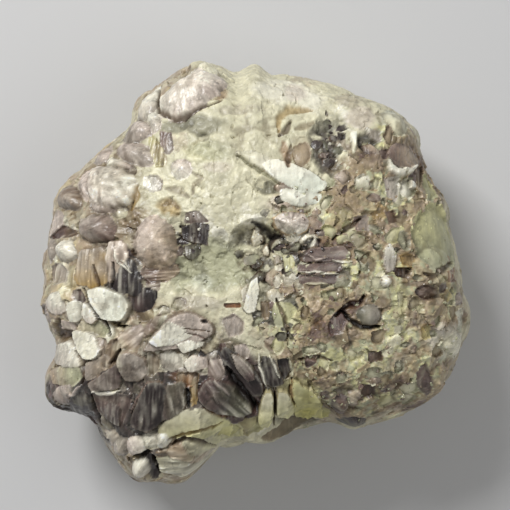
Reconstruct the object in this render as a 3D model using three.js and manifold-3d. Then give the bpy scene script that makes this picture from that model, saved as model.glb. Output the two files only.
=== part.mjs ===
// A hand specimen of ball mica: rounded mica balls, slabs and books grown together with pale feldspar
// into one stone. It lies on a trimmed flat back, with its display face up.
// Millimetres. +Z up out of the display face, +X and +Y across it.
// The origin is the middle of the resting face.
import * as THREE from "three";
import { mergeVertices } from "three/addons/utils/BufferGeometryUtils.js";
import Module from "manifold-3d";

// Driving dimensions.
const WIDTH = 95; // along X, over the widest balls
const LENGTH = 94; // along Y
const HEIGHT = 52; // from the resting face to the top of the dome
const GIRTH_HEIGHT = 21; // height of the widest section above the resting face
const KEEL = 27; // how deep the underside would reach if its back were not trimmed flat
const SKIN = 1.2; // how far the balls and slabs stand proud of the plain body at the rim
const DOME_POWER = 2.5; // 2 is an ellipsoid, more is boxier
const KEEL_POWER = 2.2;
const RUBBLE = 0.45; // height of the small unevenness between the lumps
const DETAIL = 21; // each icosahedron edge is split into this many steps, and one more

const HALF_WIDTH = WIDTH / 2;
const HALF_LENGTH = LENGTH / 2;
const CROWN = HEIGHT - GIRTH_HEIGHT - 2 * SKIN;

// Outline of the widest section, counterclockwise from +X, in shares of half the width and length.
const OUTLINE = [
  [0.97, 0.0], [0.91, 0.25], [0.81, 0.48], [0.76, 0.65], [0.71, 0.73], [0.6, 0.8],
  [0.42, 0.86], [0.27, 0.89], [0.08, 0.94], [0.0, 0.98], [-0.09, 0.94], [-0.17, 0.98],
  [-0.27, 1.0], [-0.42, 0.92], [-0.54, 0.81], [-0.6, 0.69], [-0.76, 0.55], [-0.88, 0.41],
  [-0.96, 0.24], [-0.99, 0.0], [-1.0, -0.18], [-0.94, -0.36], [-0.97, -0.5], [-0.94, -0.62],
  [-0.8, -0.7], [-0.73, -0.77], [-0.68, -0.86], [-0.58, -0.99], [-0.47, -1.01], [-0.34, -1.01],
  [-0.2, -0.88], [-0.14, -0.83], [0.08, -0.8], [0.32, -0.7], [0.48, -0.75], [0.66, -0.69],
  [0.84, -0.6], [0.94, -0.45], [0.99, -0.25],
];

// Lumps of the display face. Places and radii are shares of half the width and length, turns are
// degrees counterclockwise, and heights are millimetres. A hollow has a height below zero. A brow is
// how steep the side is: 1 for a round ball, and more for a slab with a flat top.
const LUMPS = [
  { name: "corner ball", at: [-0.33, 0.84], radii: [0.15, 0.13], turn: 30, height: 4.2 },
  { name: "corner lobe", at: [-0.5, 0.76], radii: [0.08, 0.09], turn: 40, height: 2.2 },
  { name: "pearly ball", at: [-0.7, 0.41], radii: [0.14, 0.12], turn: 20, height: 4.0 },
  { name: "left lobe", at: [-0.86, 0.36], radii: [0.07, 0.07], turn: 0, height: 2.2 },
  { name: "violet ball", at: [-0.735, 0.205], radii: [0.1, 0.09], turn: 0, height: 4.2 },
  { name: "cream ball", at: [-0.89, 0.09], radii: [0.07, 0.07], turn: 0, height: 2.2 },
  { name: "oval ball", at: [-0.475, 0.125], radii: [0.11, 0.15], turn: 10, height: 4.6 },
  { name: "upright book", at: [-0.66, 0.01], radii: [0.11, 0.12], turn: 0, height: 3.0, brow: 3 },
  { name: "mint slab", at: [-0.68, -0.17], radii: [0.12, 0.08], turn: 0, height: 3.2, brow: 3 },
  { name: "mint flake", at: [-0.79, -0.345], radii: [0.09, 0.12], turn: 25, height: 3.2, brow: 3 },
  { name: "beige slab", at: [-0.89, -0.48], radii: [0.08, 0.1], turn: 0, height: 2.6, brow: 3 },
  { name: "big slab", at: [-0.35, -0.26], radii: [0.19, 0.1], turn: 20, height: 3.6, brow: 3 },
  { name: "left dark book", at: [-0.665, -0.63], radii: [0.1, 0.1], turn: 0, height: 3.0, brow: 3 },
  { name: "middle dark book", at: [-0.45, -0.6], radii: [0.13, 0.15], turn: 15, height: 4.0, brow: 3 },
  { name: "right dark book", at: [-0.125, -0.6], radii: [0.16, 0.11], turn: -20, height: 4.0, brow: 3 },
  { name: "dark ribs", at: [0.08, -0.48], radii: [0.09, 0.1], turn: 0, height: 2.6, brow: 3 },
  { name: "toe ball", at: [-0.52, -0.92], radii: [0.06, 0.06], turn: 0, height: 2.4 },
  { name: "toe fan", at: [-0.33, -0.88], radii: [0.15, 0.09], turn: 20, height: 3.0, brow: 3 },
  { name: "shell flake", at: [0.155, 0.255], radii: [0.12, 0.08], turn: 0, height: 2.6 },
  { name: "feldspar blade", at: [0.13, 0.465], radii: [0.22, 0.04], turn: -27, height: 2.2, brow: 3 },
  { name: "shoulder ball", at: [0.68, 0.53], radii: [0.08, 0.08], turn: 0, height: 3.0 },
  { name: "violet books", at: [0.33, 0.025], radii: [0.13, 0.08], turn: 0, height: 2.6, brow: 3 },
  { name: "grey lump", at: [0.51, -0.195], radii: [0.08, 0.07], turn: 0, height: 2.2 },
  { name: "right scales", at: [0.86, -0.34], radii: [0.1, 0.1], turn: 0, height: 2.0, brow: 3 },
  { name: "heel lump", at: [0.41, -0.62], radii: [0.1, 0.1], turn: 0, height: 3.0 },
  { name: "heel knob", at: [0.76, -0.52], radii: [0.09, 0.09], turn: 0, height: 2.2 },
  { name: "shoulder knob", at: [0.66, 0.72], radii: [0.09, 0.08], turn: 0, height: 2.0 },
  { name: "peak", at: [0.01, 0.93], radii: [0.11, 0.07], turn: 0, height: 2.0 },
  { name: "middle hollow", at: [0.05, 0.11], radii: [0.17, 0.13], turn: -15, height: -3.0 },
  { name: "small hollow", at: [-0.32, 0.17], radii: [0.07, 0.1], turn: 0, height: -2.0 },
  { name: "quartz basin", at: [-0.24, -0.02], radii: [0.2, 0.13], turn: 15, height: -1.4 },
  { name: "feldspar step", at: [0.16, -0.66], radii: [0.2, 0.12], turn: 10, height: -3.0 },
];

// Lumps all round the sides, set out on a spiral so that they are spread evenly.
const SIDE_LUMPS = 46;
const SIDE_LUMP_RADIUS = 8.5;
const SIDE_LUMP_HEIGHT = 2.6;
const GOLDEN_ANGLE = Math.PI * (3 - Math.sqrt(5));

const radians = (degrees) => (degrees * Math.PI) / 180;

// The outline as a closed spline, sampled into [angle, radius] pairs in order of angle.
function outlineTable() {
  const corners = OUTLINE.map(([x, y]) => new THREE.Vector3(x * HALF_WIDTH, y * HALF_LENGTH, 0));
  const curve = new THREE.CatmullRomCurve3(corners, true, "centripetal");
  return curve
    .getPoints(12 * OUTLINE.length)
    .slice(0, -1)
    .map((p) => [Math.atan2(p.y, p.x), Math.hypot(p.x, p.y) - SKIN])
    .sort((a, b) => a[0] - b[0]);
}

const TABLE = outlineTable();

// Radius of the widest section in the direction of an angle, between the two nearest samples.
function outlineRadius(angle) {
  let high = TABLE.findIndex(([a]) => a > angle);
  if (high < 0) high = 0;
  const low = (high + TABLE.length - 1) % TABLE.length;
  const gap = (TABLE[high][0] - TABLE[low][0] + 2 * Math.PI) % (2 * Math.PI);
  const share = ((angle - TABLE[low][0] + 2 * Math.PI) % (2 * Math.PI)) / gap;
  return TABLE[low][1] * (1 - share) + TABLE[high][1] * share;
}

// Point of the plain body in a direction from the middle of the widest section, and its normal.
// The body is a superellipse dome above that section and a shallower one below it.
function bodyAt(direction) {
  const flat = Math.hypot(direction.x, direction.y);
  const angle = Math.atan2(direction.y, direction.x);
  const radius = outlineRadius(angle);
  const above = direction.z >= 0;
  const rise = above ? CROWN : KEEL;
  const power = above ? DOME_POWER : KEEL_POWER;
  const reach =
    ((flat / radius) ** power + (Math.abs(direction.z) / rise) ** power) ** (-1 / power);
  const outward = ((reach * flat) / radius) ** (power - 1) / radius;
  const upward = ((reach * Math.abs(direction.z)) / rise) ** (power - 1) / rise;
  return {
    point: direction.clone().multiplyScalar(reach).setZ(GIRTH_HEIGHT + reach * direction.z),
    normal: new THREE.Vector3(
      outward * Math.cos(angle),
      outward * Math.sin(angle),
      above ? upward : -upward,
    ).normalize(),
  };
}

// Direction of the point of the display face that stands over a place given in shares.
function directionOver([x, y]) {
  const across = new THREE.Vector2(x * HALF_WIDTH, y * HALF_LENGTH);
  const share = Math.min(across.length() / outlineRadius(across.angle()), 0.97);
  const height = CROWN * (1 - share ** DOME_POWER) ** (1 / DOME_POWER);
  return new THREE.Vector3(across.x, across.y, height).normalize();
}

// A lump's middle, its two axes along the surface, its radii and its height.
function placedLump(direction, radii, turn, height, brow = 1) {
  const { point, normal } = bodyAt(direction);
  const east = new THREE.Vector3(1, 0, 0).addScaledVector(normal, -normal.x);
  if (east.lengthSq() < 0.05) east.set(0, 1, 0).addScaledVector(normal, -normal.y);
  east.normalize().applyAxisAngle(normal, radians(turn));
  const north = new THREE.Vector3().crossVectors(normal, east);
  return { point, normal, east, north, radii, height, brow };
}

function allLumps() {
  const face = LUMPS.map((lump) =>
    placedLump(
      directionOver(lump.at),
      [lump.radii[0] * HALF_WIDTH, lump.radii[1] * HALF_LENGTH],
      lump.turn,
      lump.height,
      lump.brow,
    ),
  );
  const sides = Array.from({ length: SIDE_LUMPS }, (_, i) => {
    const z = 0.45 - (1.3 * (i + 0.5)) / SIDE_LUMPS;
    const flat = Math.sqrt(1 - z * z);
    const angle = i * GOLDEN_ANGLE;
    const direction = new THREE.Vector3(flat * Math.cos(angle), flat * Math.sin(angle), z);
    const size = SIDE_LUMP_RADIUS * (0.75 + 0.35 * Math.sin(7 * i));
    return placedLump(direction, [size, 0.8 * size], 50 * i, SIDE_LUMP_HEIGHT);
  });
  return [...face, ...sides];
}

const PLACED = allLumps();

// Height of one lump at a point: a dome, cut flat if it has a brow, that falls to nothing at its radii.
function lumpHeight(lump, point) {
  const away = point.clone().sub(lump.point);
  const [long, short] = lump.radii;
  const spread =
    (away.dot(lump.east) / long) ** 2 +
    (away.dot(lump.north) / short) ** 2 +
    (away.dot(lump.normal) / Math.max(long, short)) ** 2;
  return spread < 1 ? lump.height * Math.min(1, lump.brow * (1 - spread)) ** 0.6 : 0;
}

// Small unevenness: three crossed waves of different length.
function rubble({ x, y, z }) {
  const coarse = Math.sin(x / 2.1 + 1.3 * Math.sin(y / 3.7)) * Math.sin(y / 2.3 + z / 3.1);
  const fine = Math.sin(x / 1.1 - z / 1.4) * Math.sin(y / 1.2 + 1.1 * Math.sin(x / 2.9));
  return RUBBLE * (coarse + 0.6 * fine);
}

// Point of the stone's surface in a direction: the body, plus the highest lump there, the hollows
// and the rubble, all measured along the body's normal.
function surfacePoint(direction) {
  const { point, normal } = bodyAt(direction);
  const heights = PLACED.map((lump) => lumpHeight(lump, point));
  const proud = Math.max(0, ...heights);
  const sunk = heights.reduce((sum, h) => sum + Math.min(0, h), 0);
  return point.clone().addScaledVector(normal, proud + sunk + rubble(point));
}

// A three.js geometry with only positions as a manifold-3d solid, and back.
function solidFrom(geometry, wasm) {
  const bare = new THREE.BufferGeometry().setAttribute("position", geometry.getAttribute("position"));
  if (geometry.index) bare.setIndex(geometry.index);
  const merged = mergeVertices(bare, 1e-3);
  return new wasm.Manifold(
    new wasm.Mesh({
      numProp: 3,
      vertProperties: merged.attributes.position.array,
      triVerts: new Uint32Array(merged.index.array),
    }),
  );
}

function geometryFrom(solid) {
  const { vertProperties, triVerts } = solid.getMesh();
  const geometry = new THREE.BufferGeometry();
  geometry.setAttribute("position", new THREE.BufferAttribute(vertProperties, 3));
  geometry.setIndex(new THREE.BufferAttribute(triVerts, 1));
  geometry.computeVertexNormals();
  return geometry;
}

// The stone before its back is trimmed: a fine icosahedron with each vertex moved to the surface.
function untrimmedStone() {
  const ball = new THREE.IcosahedronGeometry(1, DETAIL);
  const places = ball.getAttribute("position");
  const direction = new THREE.Vector3();
  for (let i = 0; i < places.count; i += 1) {
    direction.fromBufferAttribute(places, i).normalize();
    places.setXYZ(i, ...surfacePoint(direction).toArray());
  }
  return ball;
}

// The block that is cut away below the resting face.
function backTrim() {
  const depth = KEEL;
  return new THREE.BoxGeometry(2 * WIDTH, 2 * LENGTH, depth).translate(0, 0, -depth / 2);
}

const wasm = await Module();
wasm.setup();
const stone = solidFrom(untrimmedStone(), wasm).subtract(solidFrom(backTrim(), wasm));

const mica = new THREE.Mesh(
  geometryFrom(stone),
  new THREE.MeshStandardMaterial({ color: 0x9d947d, roughness: 0.5, metalness: 0, flatShading: true }),
);
mica.name = "mica_specimen";

const specimen = new THREE.Group();
specimen.name = "mica_crystal";
specimen.add(mica);

export default specimen;
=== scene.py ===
"""Looks of a hand specimen of ball mica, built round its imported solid.

Pale feldspar carries rounded mica balls, pearly slabs, dark violet books and a granular mica crust,
all grown together in one stone that lies on a trimmed flat back. One relief over the plain body holds
the grounds, stains, crystals, films and cracks, and two beds of small plates are strewn over it. The
materials read the tint and gloss that the same formulas write.
"""

from __future__ import annotations

import logging
import math
from dataclasses import dataclass, field
from enum import Enum

import bpy
import numpy as np
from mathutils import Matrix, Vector
from numpy.typing import NDArray


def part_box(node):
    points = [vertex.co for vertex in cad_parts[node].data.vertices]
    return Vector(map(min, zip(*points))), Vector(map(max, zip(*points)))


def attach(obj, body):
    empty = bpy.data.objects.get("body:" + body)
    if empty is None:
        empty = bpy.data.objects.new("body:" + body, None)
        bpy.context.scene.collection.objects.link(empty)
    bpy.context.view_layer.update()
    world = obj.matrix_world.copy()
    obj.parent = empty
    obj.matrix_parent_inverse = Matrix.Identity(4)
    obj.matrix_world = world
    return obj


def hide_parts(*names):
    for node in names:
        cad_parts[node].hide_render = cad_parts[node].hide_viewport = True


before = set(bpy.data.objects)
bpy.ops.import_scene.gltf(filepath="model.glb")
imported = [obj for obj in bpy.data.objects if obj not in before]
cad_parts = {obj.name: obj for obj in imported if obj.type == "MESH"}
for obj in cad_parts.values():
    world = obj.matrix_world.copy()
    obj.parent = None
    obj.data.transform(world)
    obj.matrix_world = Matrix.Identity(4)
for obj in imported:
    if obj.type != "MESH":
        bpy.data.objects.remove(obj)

Array = NDArray[np.float64]
Indices = NDArray[np.int64]
Pair = tuple[float, float]

NODE = "mica_specimen"
MM = 0.001
TURN = 2 * math.pi
GOLDEN_ANGLE = math.pi * (3 - math.sqrt(5))
CREASE = 42.0
FLAKE_CREASE = 25.0
STREWN_CORNERS = 7
HIDDEN_SEED = 41
EYE_DISTANCE = 0.5
VIEW_WIDTH = 0.1148
EYE_SHIFT = 3.6 * MM
FLOOR_REACH = 3.0
LOG = logging.getLogger("mica")


class Hue(Enum):
    """Colours of the minerals, as screen colours from 0 to 255."""

    CHALK = (232, 228, 210)
    PEARL = (224, 220, 202)
    MINT = (218, 221, 204)
    CREAM = (208, 203, 174)
    BUTTER = (206, 202, 150)
    SULPHUR = (188, 182, 108)
    LILAC = (198, 184, 172)
    PUTTY = (190, 180, 154)
    SAGE = (174, 174, 142)
    SAND = (180, 166, 132)
    DOVE = (160, 150, 138)
    BEIGE = (168, 150, 126)
    TAN = (148, 131, 102)
    ASH = (134, 128, 112)
    OCHRE = (178, 146, 80)
    RUST = (150, 104, 64)
    MAUVE = (126, 106, 96)
    SMOKE = (108, 106, 88)
    VIOLET = (98, 82, 78)
    UMBER = (106, 84, 62)
    MAROON = (96, 66, 56)
    MOSS = (82, 80, 62)
    SLATE = (78, 72, 66)
    DUSK = (62, 52, 50)
    INK = (40, 33, 32)

    @property
    def linear(self) -> Array:
        """The colour as linear light."""
        share = np.array(self.value) / 255
        return np.where(share > 0.04045, ((share + 0.055) / 1.055) ** 2.4, share / 12.92)


def mixed(first: Array, second: Array, share: Array) -> Array:
    """Blends two rows of colours, by a share for each row."""
    return first + (second - first) * np.clip(share, 0, 1)[:, None]


# ---------------------------------------------------------------------------------------------
# Noise
# ---------------------------------------------------------------------------------------------


def hashed(cells: Indices, salt: int) -> Array:
    """Gives each whole-number cell a number from 0 to 1 that looks random and never changes.

    The three cell numbers are multiplied by large odd numbers, joined by exclusive or, and mixed.

    Args:
        cells: whole numbers, one row of three for each cell.
        salt: picks one of many independent sets of numbers.

    Returns:
        One number from 0 to 1 for each row.
    """
    x, y, z = (cells[:, axis].astype(np.uint32) for axis in range(3))
    offset = np.uint32((salt * 2654435761) & 0xFFFFFFFF)
    mix = x * np.uint32(73856093) ^ y * np.uint32(19349663) ^ z * np.uint32(83492791) ^ offset
    for shift, factor in ((15, 0x2C1B3C6D), (12, 0x297A2D39)):
        mix = (mix ^ (mix >> np.uint32(shift))) * np.uint32(factor)
    mix ^= mix >> np.uint32(15)
    return mix.astype(np.float64) / 2.0**32


def smooth_noise(points: Array, size: float, salt: int) -> Array:
    """Smooth noise from -1 to 1: the hashed corners of each cell, blended by a smooth cubic.

    Args:
        points: places in metres.
        size: width of one cell in metres.
        salt: picks the noise.

    Returns:
        One number for each point.
    """
    scaled = points / size
    cell = np.floor(scaled).astype(np.int64)
    share = scaled - cell
    share = share * share * (3 - 2 * share)
    total = np.zeros(len(points))
    for corner in np.ndindex(2, 2, 2):
        weight = np.prod(np.where(np.array(corner) == 1, share, 1 - share), axis=1)
        total += weight * hashed(cell + np.array(corner), salt)
    return 2 * total - 1


def rough_noise(points: Array, size: float, octaves: int, salt: int) -> Array:
    """Adds up smooth noises, each half the size and height of the one before."""
    total = np.zeros(len(points))
    for octave in range(octaves):
        total += smooth_noise(points, size / 2**octave, salt + 17 * octave) / 2**octave
    return total


def ramp(values: Array, low: float, high: float) -> Array:
    """Rises smoothly from 0 at low to 1 at high, by a cubic; falls if high is below low."""
    share = np.clip((values - low) / (high - low), 0, 1)
    return share * share * (3 - 2 * share)


def polygon_radius(x: Array, y: Array, sides: Array | float, turn: Array | float) -> Array:
    """Distance from the middle measured so that a regular polygon's edge is at 1.

    It is the radius times the cosine of the angle to the middle of the nearest side.

    Args:
        x: places along the first axis.
        y: places along the second axis.
        sides: number of sides.
        turn: turn of the polygon in radians.

    Returns:
        One distance for each place.
    """
    angle = np.arctan2(y, x) + turn
    sector = TURN / sides
    return np.hypot(x, y) * np.cos(np.mod(angle, sector) - sector / 2)


def unit(vectors: Array) -> Array:
    """Rows scaled to length 1."""
    return vectors / np.linalg.norm(vectors, axis=-1, keepdims=True)


def tangents(normals: Array) -> tuple[Array, Array]:
    """Two unit directions along the surface for each normal, the first mostly towards +X."""
    flat = np.abs(normals[:, :1]) < 0.9
    start = np.where(flat, np.array([1.0, 0, 0]), np.array([0, 1.0, 0]))
    east = unit(start - normals * np.sum(start * normals, axis=1, keepdims=True))
    return east, np.cross(normals, east)


# ---------------------------------------------------------------------------------------------
# The plain body of the stone
# ---------------------------------------------------------------------------------------------

# Outline of the widest section, counterclockwise from +X, in shares of half the width and length.
OUTLINE = (
    (0.97, 0.0), (0.91, 0.25), (0.81, 0.48), (0.76, 0.65), (0.71, 0.73), (0.6, 0.8),
    (0.42, 0.86), (0.27, 0.89), (0.08, 0.94), (0.0, 0.98), (-0.09, 0.94), (-0.17, 0.98),
    (-0.27, 1.0), (-0.42, 0.92), (-0.54, 0.81), (-0.6, 0.69), (-0.76, 0.55), (-0.88, 0.41),
    (-0.96, 0.24), (-0.99, 0.0), (-1.0, -0.18), (-0.94, -0.36), (-0.97, -0.5), (-0.94, -0.62),
    (-0.8, -0.7), (-0.73, -0.77), (-0.68, -0.86), (-0.58, -0.99), (-0.47, -1.01), (-0.34, -1.01),
    (-0.2, -0.88), (-0.14, -0.83), (0.08, -0.8), (0.32, -0.7), (0.48, -0.75), (0.66, -0.69),
    (0.84, -0.6), (0.94, -0.45), (0.99, -0.25),
)


@dataclass(frozen=True)
class Spot:
    """A place on the stone with two axes along the surface and its radii along them."""

    point: Array
    normal: Array
    east: Array
    north: Array
    radii: Pair

    def local(self, points: Array) -> tuple[Array, Array, Array]:
        """Places along the spot's two axes in shares of its radii, and away from its plane.

        Args:
            points: places in metres.

        Returns:
            The two shares, and the share away from the plane.
        """
        away = points - self.point
        return (
            away @ self.east / self.radii[0],
            away @ self.north / self.radii[1],
            away @ self.normal / max(self.radii),
        )


@dataclass
class Body:
    """The plain body: a superellipse dome over the outline and a shallower keel under it."""

    low: Vector
    high: Vector
    girth_share: float = 0.398
    keel_share: float = 0.51
    skin: float = 1.2 * MM
    dome_power: float = 2.5
    keel_power: float = 2.2
    side_lumps: int = 46
    side_lump_radius: float = 8.5 * MM
    side_lump_height: float = 1.4 * MM
    hollows: list[tuple[Spot, float]] = field(default_factory=list)
    lumps: list[Spot] = field(default_factory=list)

    def __post_init__(self) -> None:
        """Works out the radii from the solid's box, and sets out the hollows and side lumps."""
        size = self.high - self.low
        self.half_width = size.x / 2 - 0.6 * MM
        self.half_length = size.y / 2
        self.girth = size.z * self.girth_share
        self.crown = size.z - self.girth - 2.6 * self.skin
        self.keel = size.z * self.keel_share
        self.angles, self.radii = self._outline()
        for at, radii, turn, depth in (
            ((0.05, 0.11), (0.17, 0.13), -15, 3.0 * MM),
            ((-0.32, 0.17), (0.07, 0.1), 0, 2.0 * MM),
            ((-0.24, -0.02), (0.2, 0.13), 15, 1.4 * MM),
            ((0.16, -0.66), (0.2, 0.12), 10, 3.0 * MM),
        ):
            self.hollows.append((self.spot(at, radii, turn), depth))
        for index in range(self.side_lumps):
            z = 0.45 - 1.3 * (index + 0.5) / self.side_lumps
            angle = index * GOLDEN_ANGLE
            flat = math.sqrt(1 - z * z)
            direction = np.array([flat * math.cos(angle), flat * math.sin(angle), z])
            size = self.side_lump_radius * (0.75 + 0.35 * math.sin(7 * index))
            self.lumps.append(self.spot_in(direction, (size, 0.8 * size), 50 * index))

    def _outline(self) -> tuple[Array, Array]:
        """Closed Catmull-Rom spline through the outline's corners, as angles and radii.

        Returns:
            Angles in rising order, and the radius in metres at each.
        """
        corners = np.array(OUTLINE) * [self.half_width, self.half_length]
        before, after, later = (np.roll(corners, k, axis=0) for k in (1, -1, -2))
        t = np.linspace(0, 1, 12, endpoint=False)[:, None, None]
        curve = 0.5 * (
            2 * corners
            + (after - before) * t
            + (2 * before - 5 * corners + 4 * after - later) * t**2
            + (3 * corners - before - 3 * after + later) * t**3
        ).reshape(-1, 2)
        angles = np.arctan2(curve[:, 1], curve[:, 0])
        order = np.argsort(angles)
        return angles[order], np.hypot(*curve.T)[order] - self.skin

    def radius(self, angles: Array) -> Array:
        """Radius of the widest section in the direction of each angle."""
        return np.interp(angles, self.angles, self.radii, period=TURN)

    def plain(self, directions: Array) -> tuple[Array, Array]:
        """Points and normals of the superellipse body.

        The reach r solves (r flat / R)^p + (r |z| / H)^p = 1, where R is the outline's radius and H
        the height of the crown or the depth of the keel.

        Args:
            directions: unit vectors from the middle of the widest section.

        Returns:
            The points and the unit normals.
        """
        flat = np.hypot(directions[:, 0], directions[:, 1])
        angle = np.arctan2(directions[:, 1], directions[:, 0])
        radius = self.radius(angle)
        above = directions[:, 2] >= 0
        rise = np.where(above, self.crown, self.keel)
        power = np.where(above, self.dome_power, self.keel_power)
        tall = np.abs(directions[:, 2])
        reach = ((flat / radius) ** power + (tall / rise) ** power) ** (-1 / power)
        points = directions * reach[:, None] + [0, 0, self.girth]
        outward = (reach * flat / radius) ** (power - 1) / radius
        upward = (reach * tall / rise) ** (power - 1) / rise * np.sign(directions[:, 2])
        normals = np.stack([outward * np.cos(angle), outward * np.sin(angle), upward], axis=1)
        return points, unit(normals)

    def surface(self, directions: Array) -> tuple[Array, Array]:
        """The plain body with its hollows and side lumps, and the plain body's normals.

        Args:
            directions: unit vectors from the middle of the widest section.

        Returns:
            The points and the unit normals.
        """
        points, normals = self.plain(directions)
        rise = np.zeros(len(points))
        for spot in self.lumps:
            x, y, z = spot.local(points)
            spread = np.clip(1 - x * x - y * y - z * z, 0, 1)
            rise = np.maximum(rise, self.side_lump_height * spread**0.8)
        for spot, depth in self.hollows:
            x, y, z = spot.local(points)
            rise -= depth * np.clip(1 - x * x - y * y - z * z, 0, 1) ** 0.8
        return points + normals * rise[:, None], normals

    def directions_over(self, at: Array) -> Array:
        """Directions of the points of the display face over places given in shares."""
        x, y = at[:, 0] * self.half_width, at[:, 1] * self.half_length
        radius = self.radius(np.arctan2(y, x))
        share = np.minimum(np.hypot(x, y) / radius, 0.97)
        height = self.crown * (1 - share**self.dome_power) ** (1 / self.dome_power)
        return unit(np.stack([x, y, height], axis=1))

    def spot_in(self, direction: Array, radii: Pair, turn: float) -> Spot:
        """The spot that a direction meets."""
        points, normals = self.plain(direction[None])
        east, north = (axis[0] for axis in tangents(normals))
        cosine, sine = math.cos(math.radians(turn)), math.sin(math.radians(turn))
        across = east * cosine + north * sine
        return Spot(points[0], normals[0], across, north * cosine - east * sine, radii)

    def spot(self, at: Pair, radii: Pair, turn: float = 0) -> Spot:
        """The spot of the display face over a place, with place and radii given in shares."""
        sizes = (radii[0] * self.half_width, radii[1] * self.half_length)
        return self.spot_in(self.directions_over(np.array([at]))[0], sizes, turn)


# ---------------------------------------------------------------------------------------------
# Meshes
# ---------------------------------------------------------------------------------------------


@dataclass
class Shell:
    """Closed surfaces ready to become one piece, with a tint and a gloss at each vertex."""

    points: Array
    faces: list[Indices]
    tint: Array
    gloss: Array

    @classmethod
    def joined(cls, shells: list[Shell]) -> Shell:
        """Puts several shells side by side in one.

        Args:
            shells: the shells, in order.

        Returns:
            One shell that holds them all.
        """
        starts = np.cumsum([0] + [len(shell.points) for shell in shells])
        faces = [rows + start for shell, start in zip(shells, starts) for rows in shell.faces]
        return cls(
            np.vstack([shell.points for shell in shells]),
            faces,
            np.vstack([shell.tint for shell in shells]),
            np.concatenate([shell.gloss for shell in shells]),
        )

    def make(self, name: str, crease: float) -> bpy.types.Object:
        """Makes a linked object, smooth but for the edges sharper than the crease in degrees.

        Args:
            name: the piece's name.
            crease: angle in degrees above which an edge stays crisp.

        Returns:
            The new object, at the origin.
        """
        mesh = bpy.data.meshes.new(name)
        sizes = np.concatenate([np.full(len(rows), rows.shape[1]) for rows in self.faces])
        loops = np.concatenate([rows.ravel() for rows in self.faces])
        mesh.vertices.add(len(self.points))
        mesh.vertices.foreach_set("co", self.points.astype(np.float32).ravel())
        mesh.loops.add(len(loops))
        mesh.loops.foreach_set("vertex_index", loops.astype(np.int32))
        mesh.polygons.add(len(sizes))
        starts = np.concatenate([[0], np.cumsum(sizes)[:-1]])
        mesh.polygons.foreach_set("loop_start", starts.astype(np.int32))
        mesh.update(calc_edges=True)
        mesh.polygons.foreach_set("use_smooth", np.ones(len(sizes), bool))
        mesh.set_sharp_from_angle(angle=math.radians(crease))
        tint = mesh.attributes.new("tint", "FLOAT_COLOR", "POINT")
        rows = np.column_stack([np.clip(self.tint, 0.004, 0.95), np.ones(len(self.tint))])
        tint.data.foreach_set("color", rows.astype(np.float32).ravel())
        gloss = mesh.attributes.new("gloss", "FLOAT", "POINT")
        gloss.data.foreach_set("value", np.clip(self.gloss, 0, 1).astype(np.float32))
        piece = bpy.data.objects.new(name, mesh)
        bpy.context.scene.collection.objects.link(piece)
        LOG.info("%s: %d triangles", name, int(np.sum(sizes - 2)))
        return piece


def rings_faces(rings: int, around: int, tip: int) -> list[Indices]:
    """Faces of rings of vertices that run up to one tip, closed by one polygon at the bottom.

    Args:
        rings: number of rings, the first being the lowest.
        around: vertices on each ring, counterclockwise seen from the tip.
        tip: number of the vertex at the top.

    Returns:
        Quads between rings, triangles at the tip, and the polygon.
    """
    here = np.arange(around)
    following = (here + 1) % around
    base = np.arange(rings - 1)[:, None] * around
    quads = np.stack(
        [base + here, base + following, base + around + following, base + around + here], axis=-1
    ).reshape(-1, 4)
    top = (rings - 1) * around
    fan = np.stack([top + here, top + following, np.full(around, tip)], axis=1)
    return [quads, fan, here[::-1][None]]


# ---------------------------------------------------------------------------------------------
# The relief: grounds, crystals, veins and stains
# ---------------------------------------------------------------------------------------------


def places(text: str) -> Array:
    """Reads pairs of millimetres, as x,y separated by blanks, into an array of metres."""
    return np.array([[float(part) for part in pair.split(",")] for pair in text.split()]) * MM


@dataclass
class Layers:
    """Height in metres, tint, gloss, and whether it is still bare ground, at each point."""

    height: Array
    tint: Array
    gloss: Array
    bare: NDArray[np.bool_] = field(default_factory=lambda: np.ones(0, bool))

    def __post_init__(self) -> None:
        """Starts with bare ground everywhere."""
        self.bare = np.ones(len(self.height), bool)

    def stain(self, rows: Indices, hue: Hue, share: Array) -> None:
        """Mixes a colour into some rows."""
        self.tint[rows] = mixed(self.tint[rows], hue.linear, share)


def hairs(points: Array, size: float, salt: int) -> Array:
    """Thin wandering lines from 0 to 1: where a smooth noise passes through 0, in some places only."""
    line = ramp(np.abs(rough_noise(points, size, 3, salt)), 0.09, 0.02)
    return line * ramp(smooth_noise(points, 1.7 * size, salt + 5), -0.1, 0.4)


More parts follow.
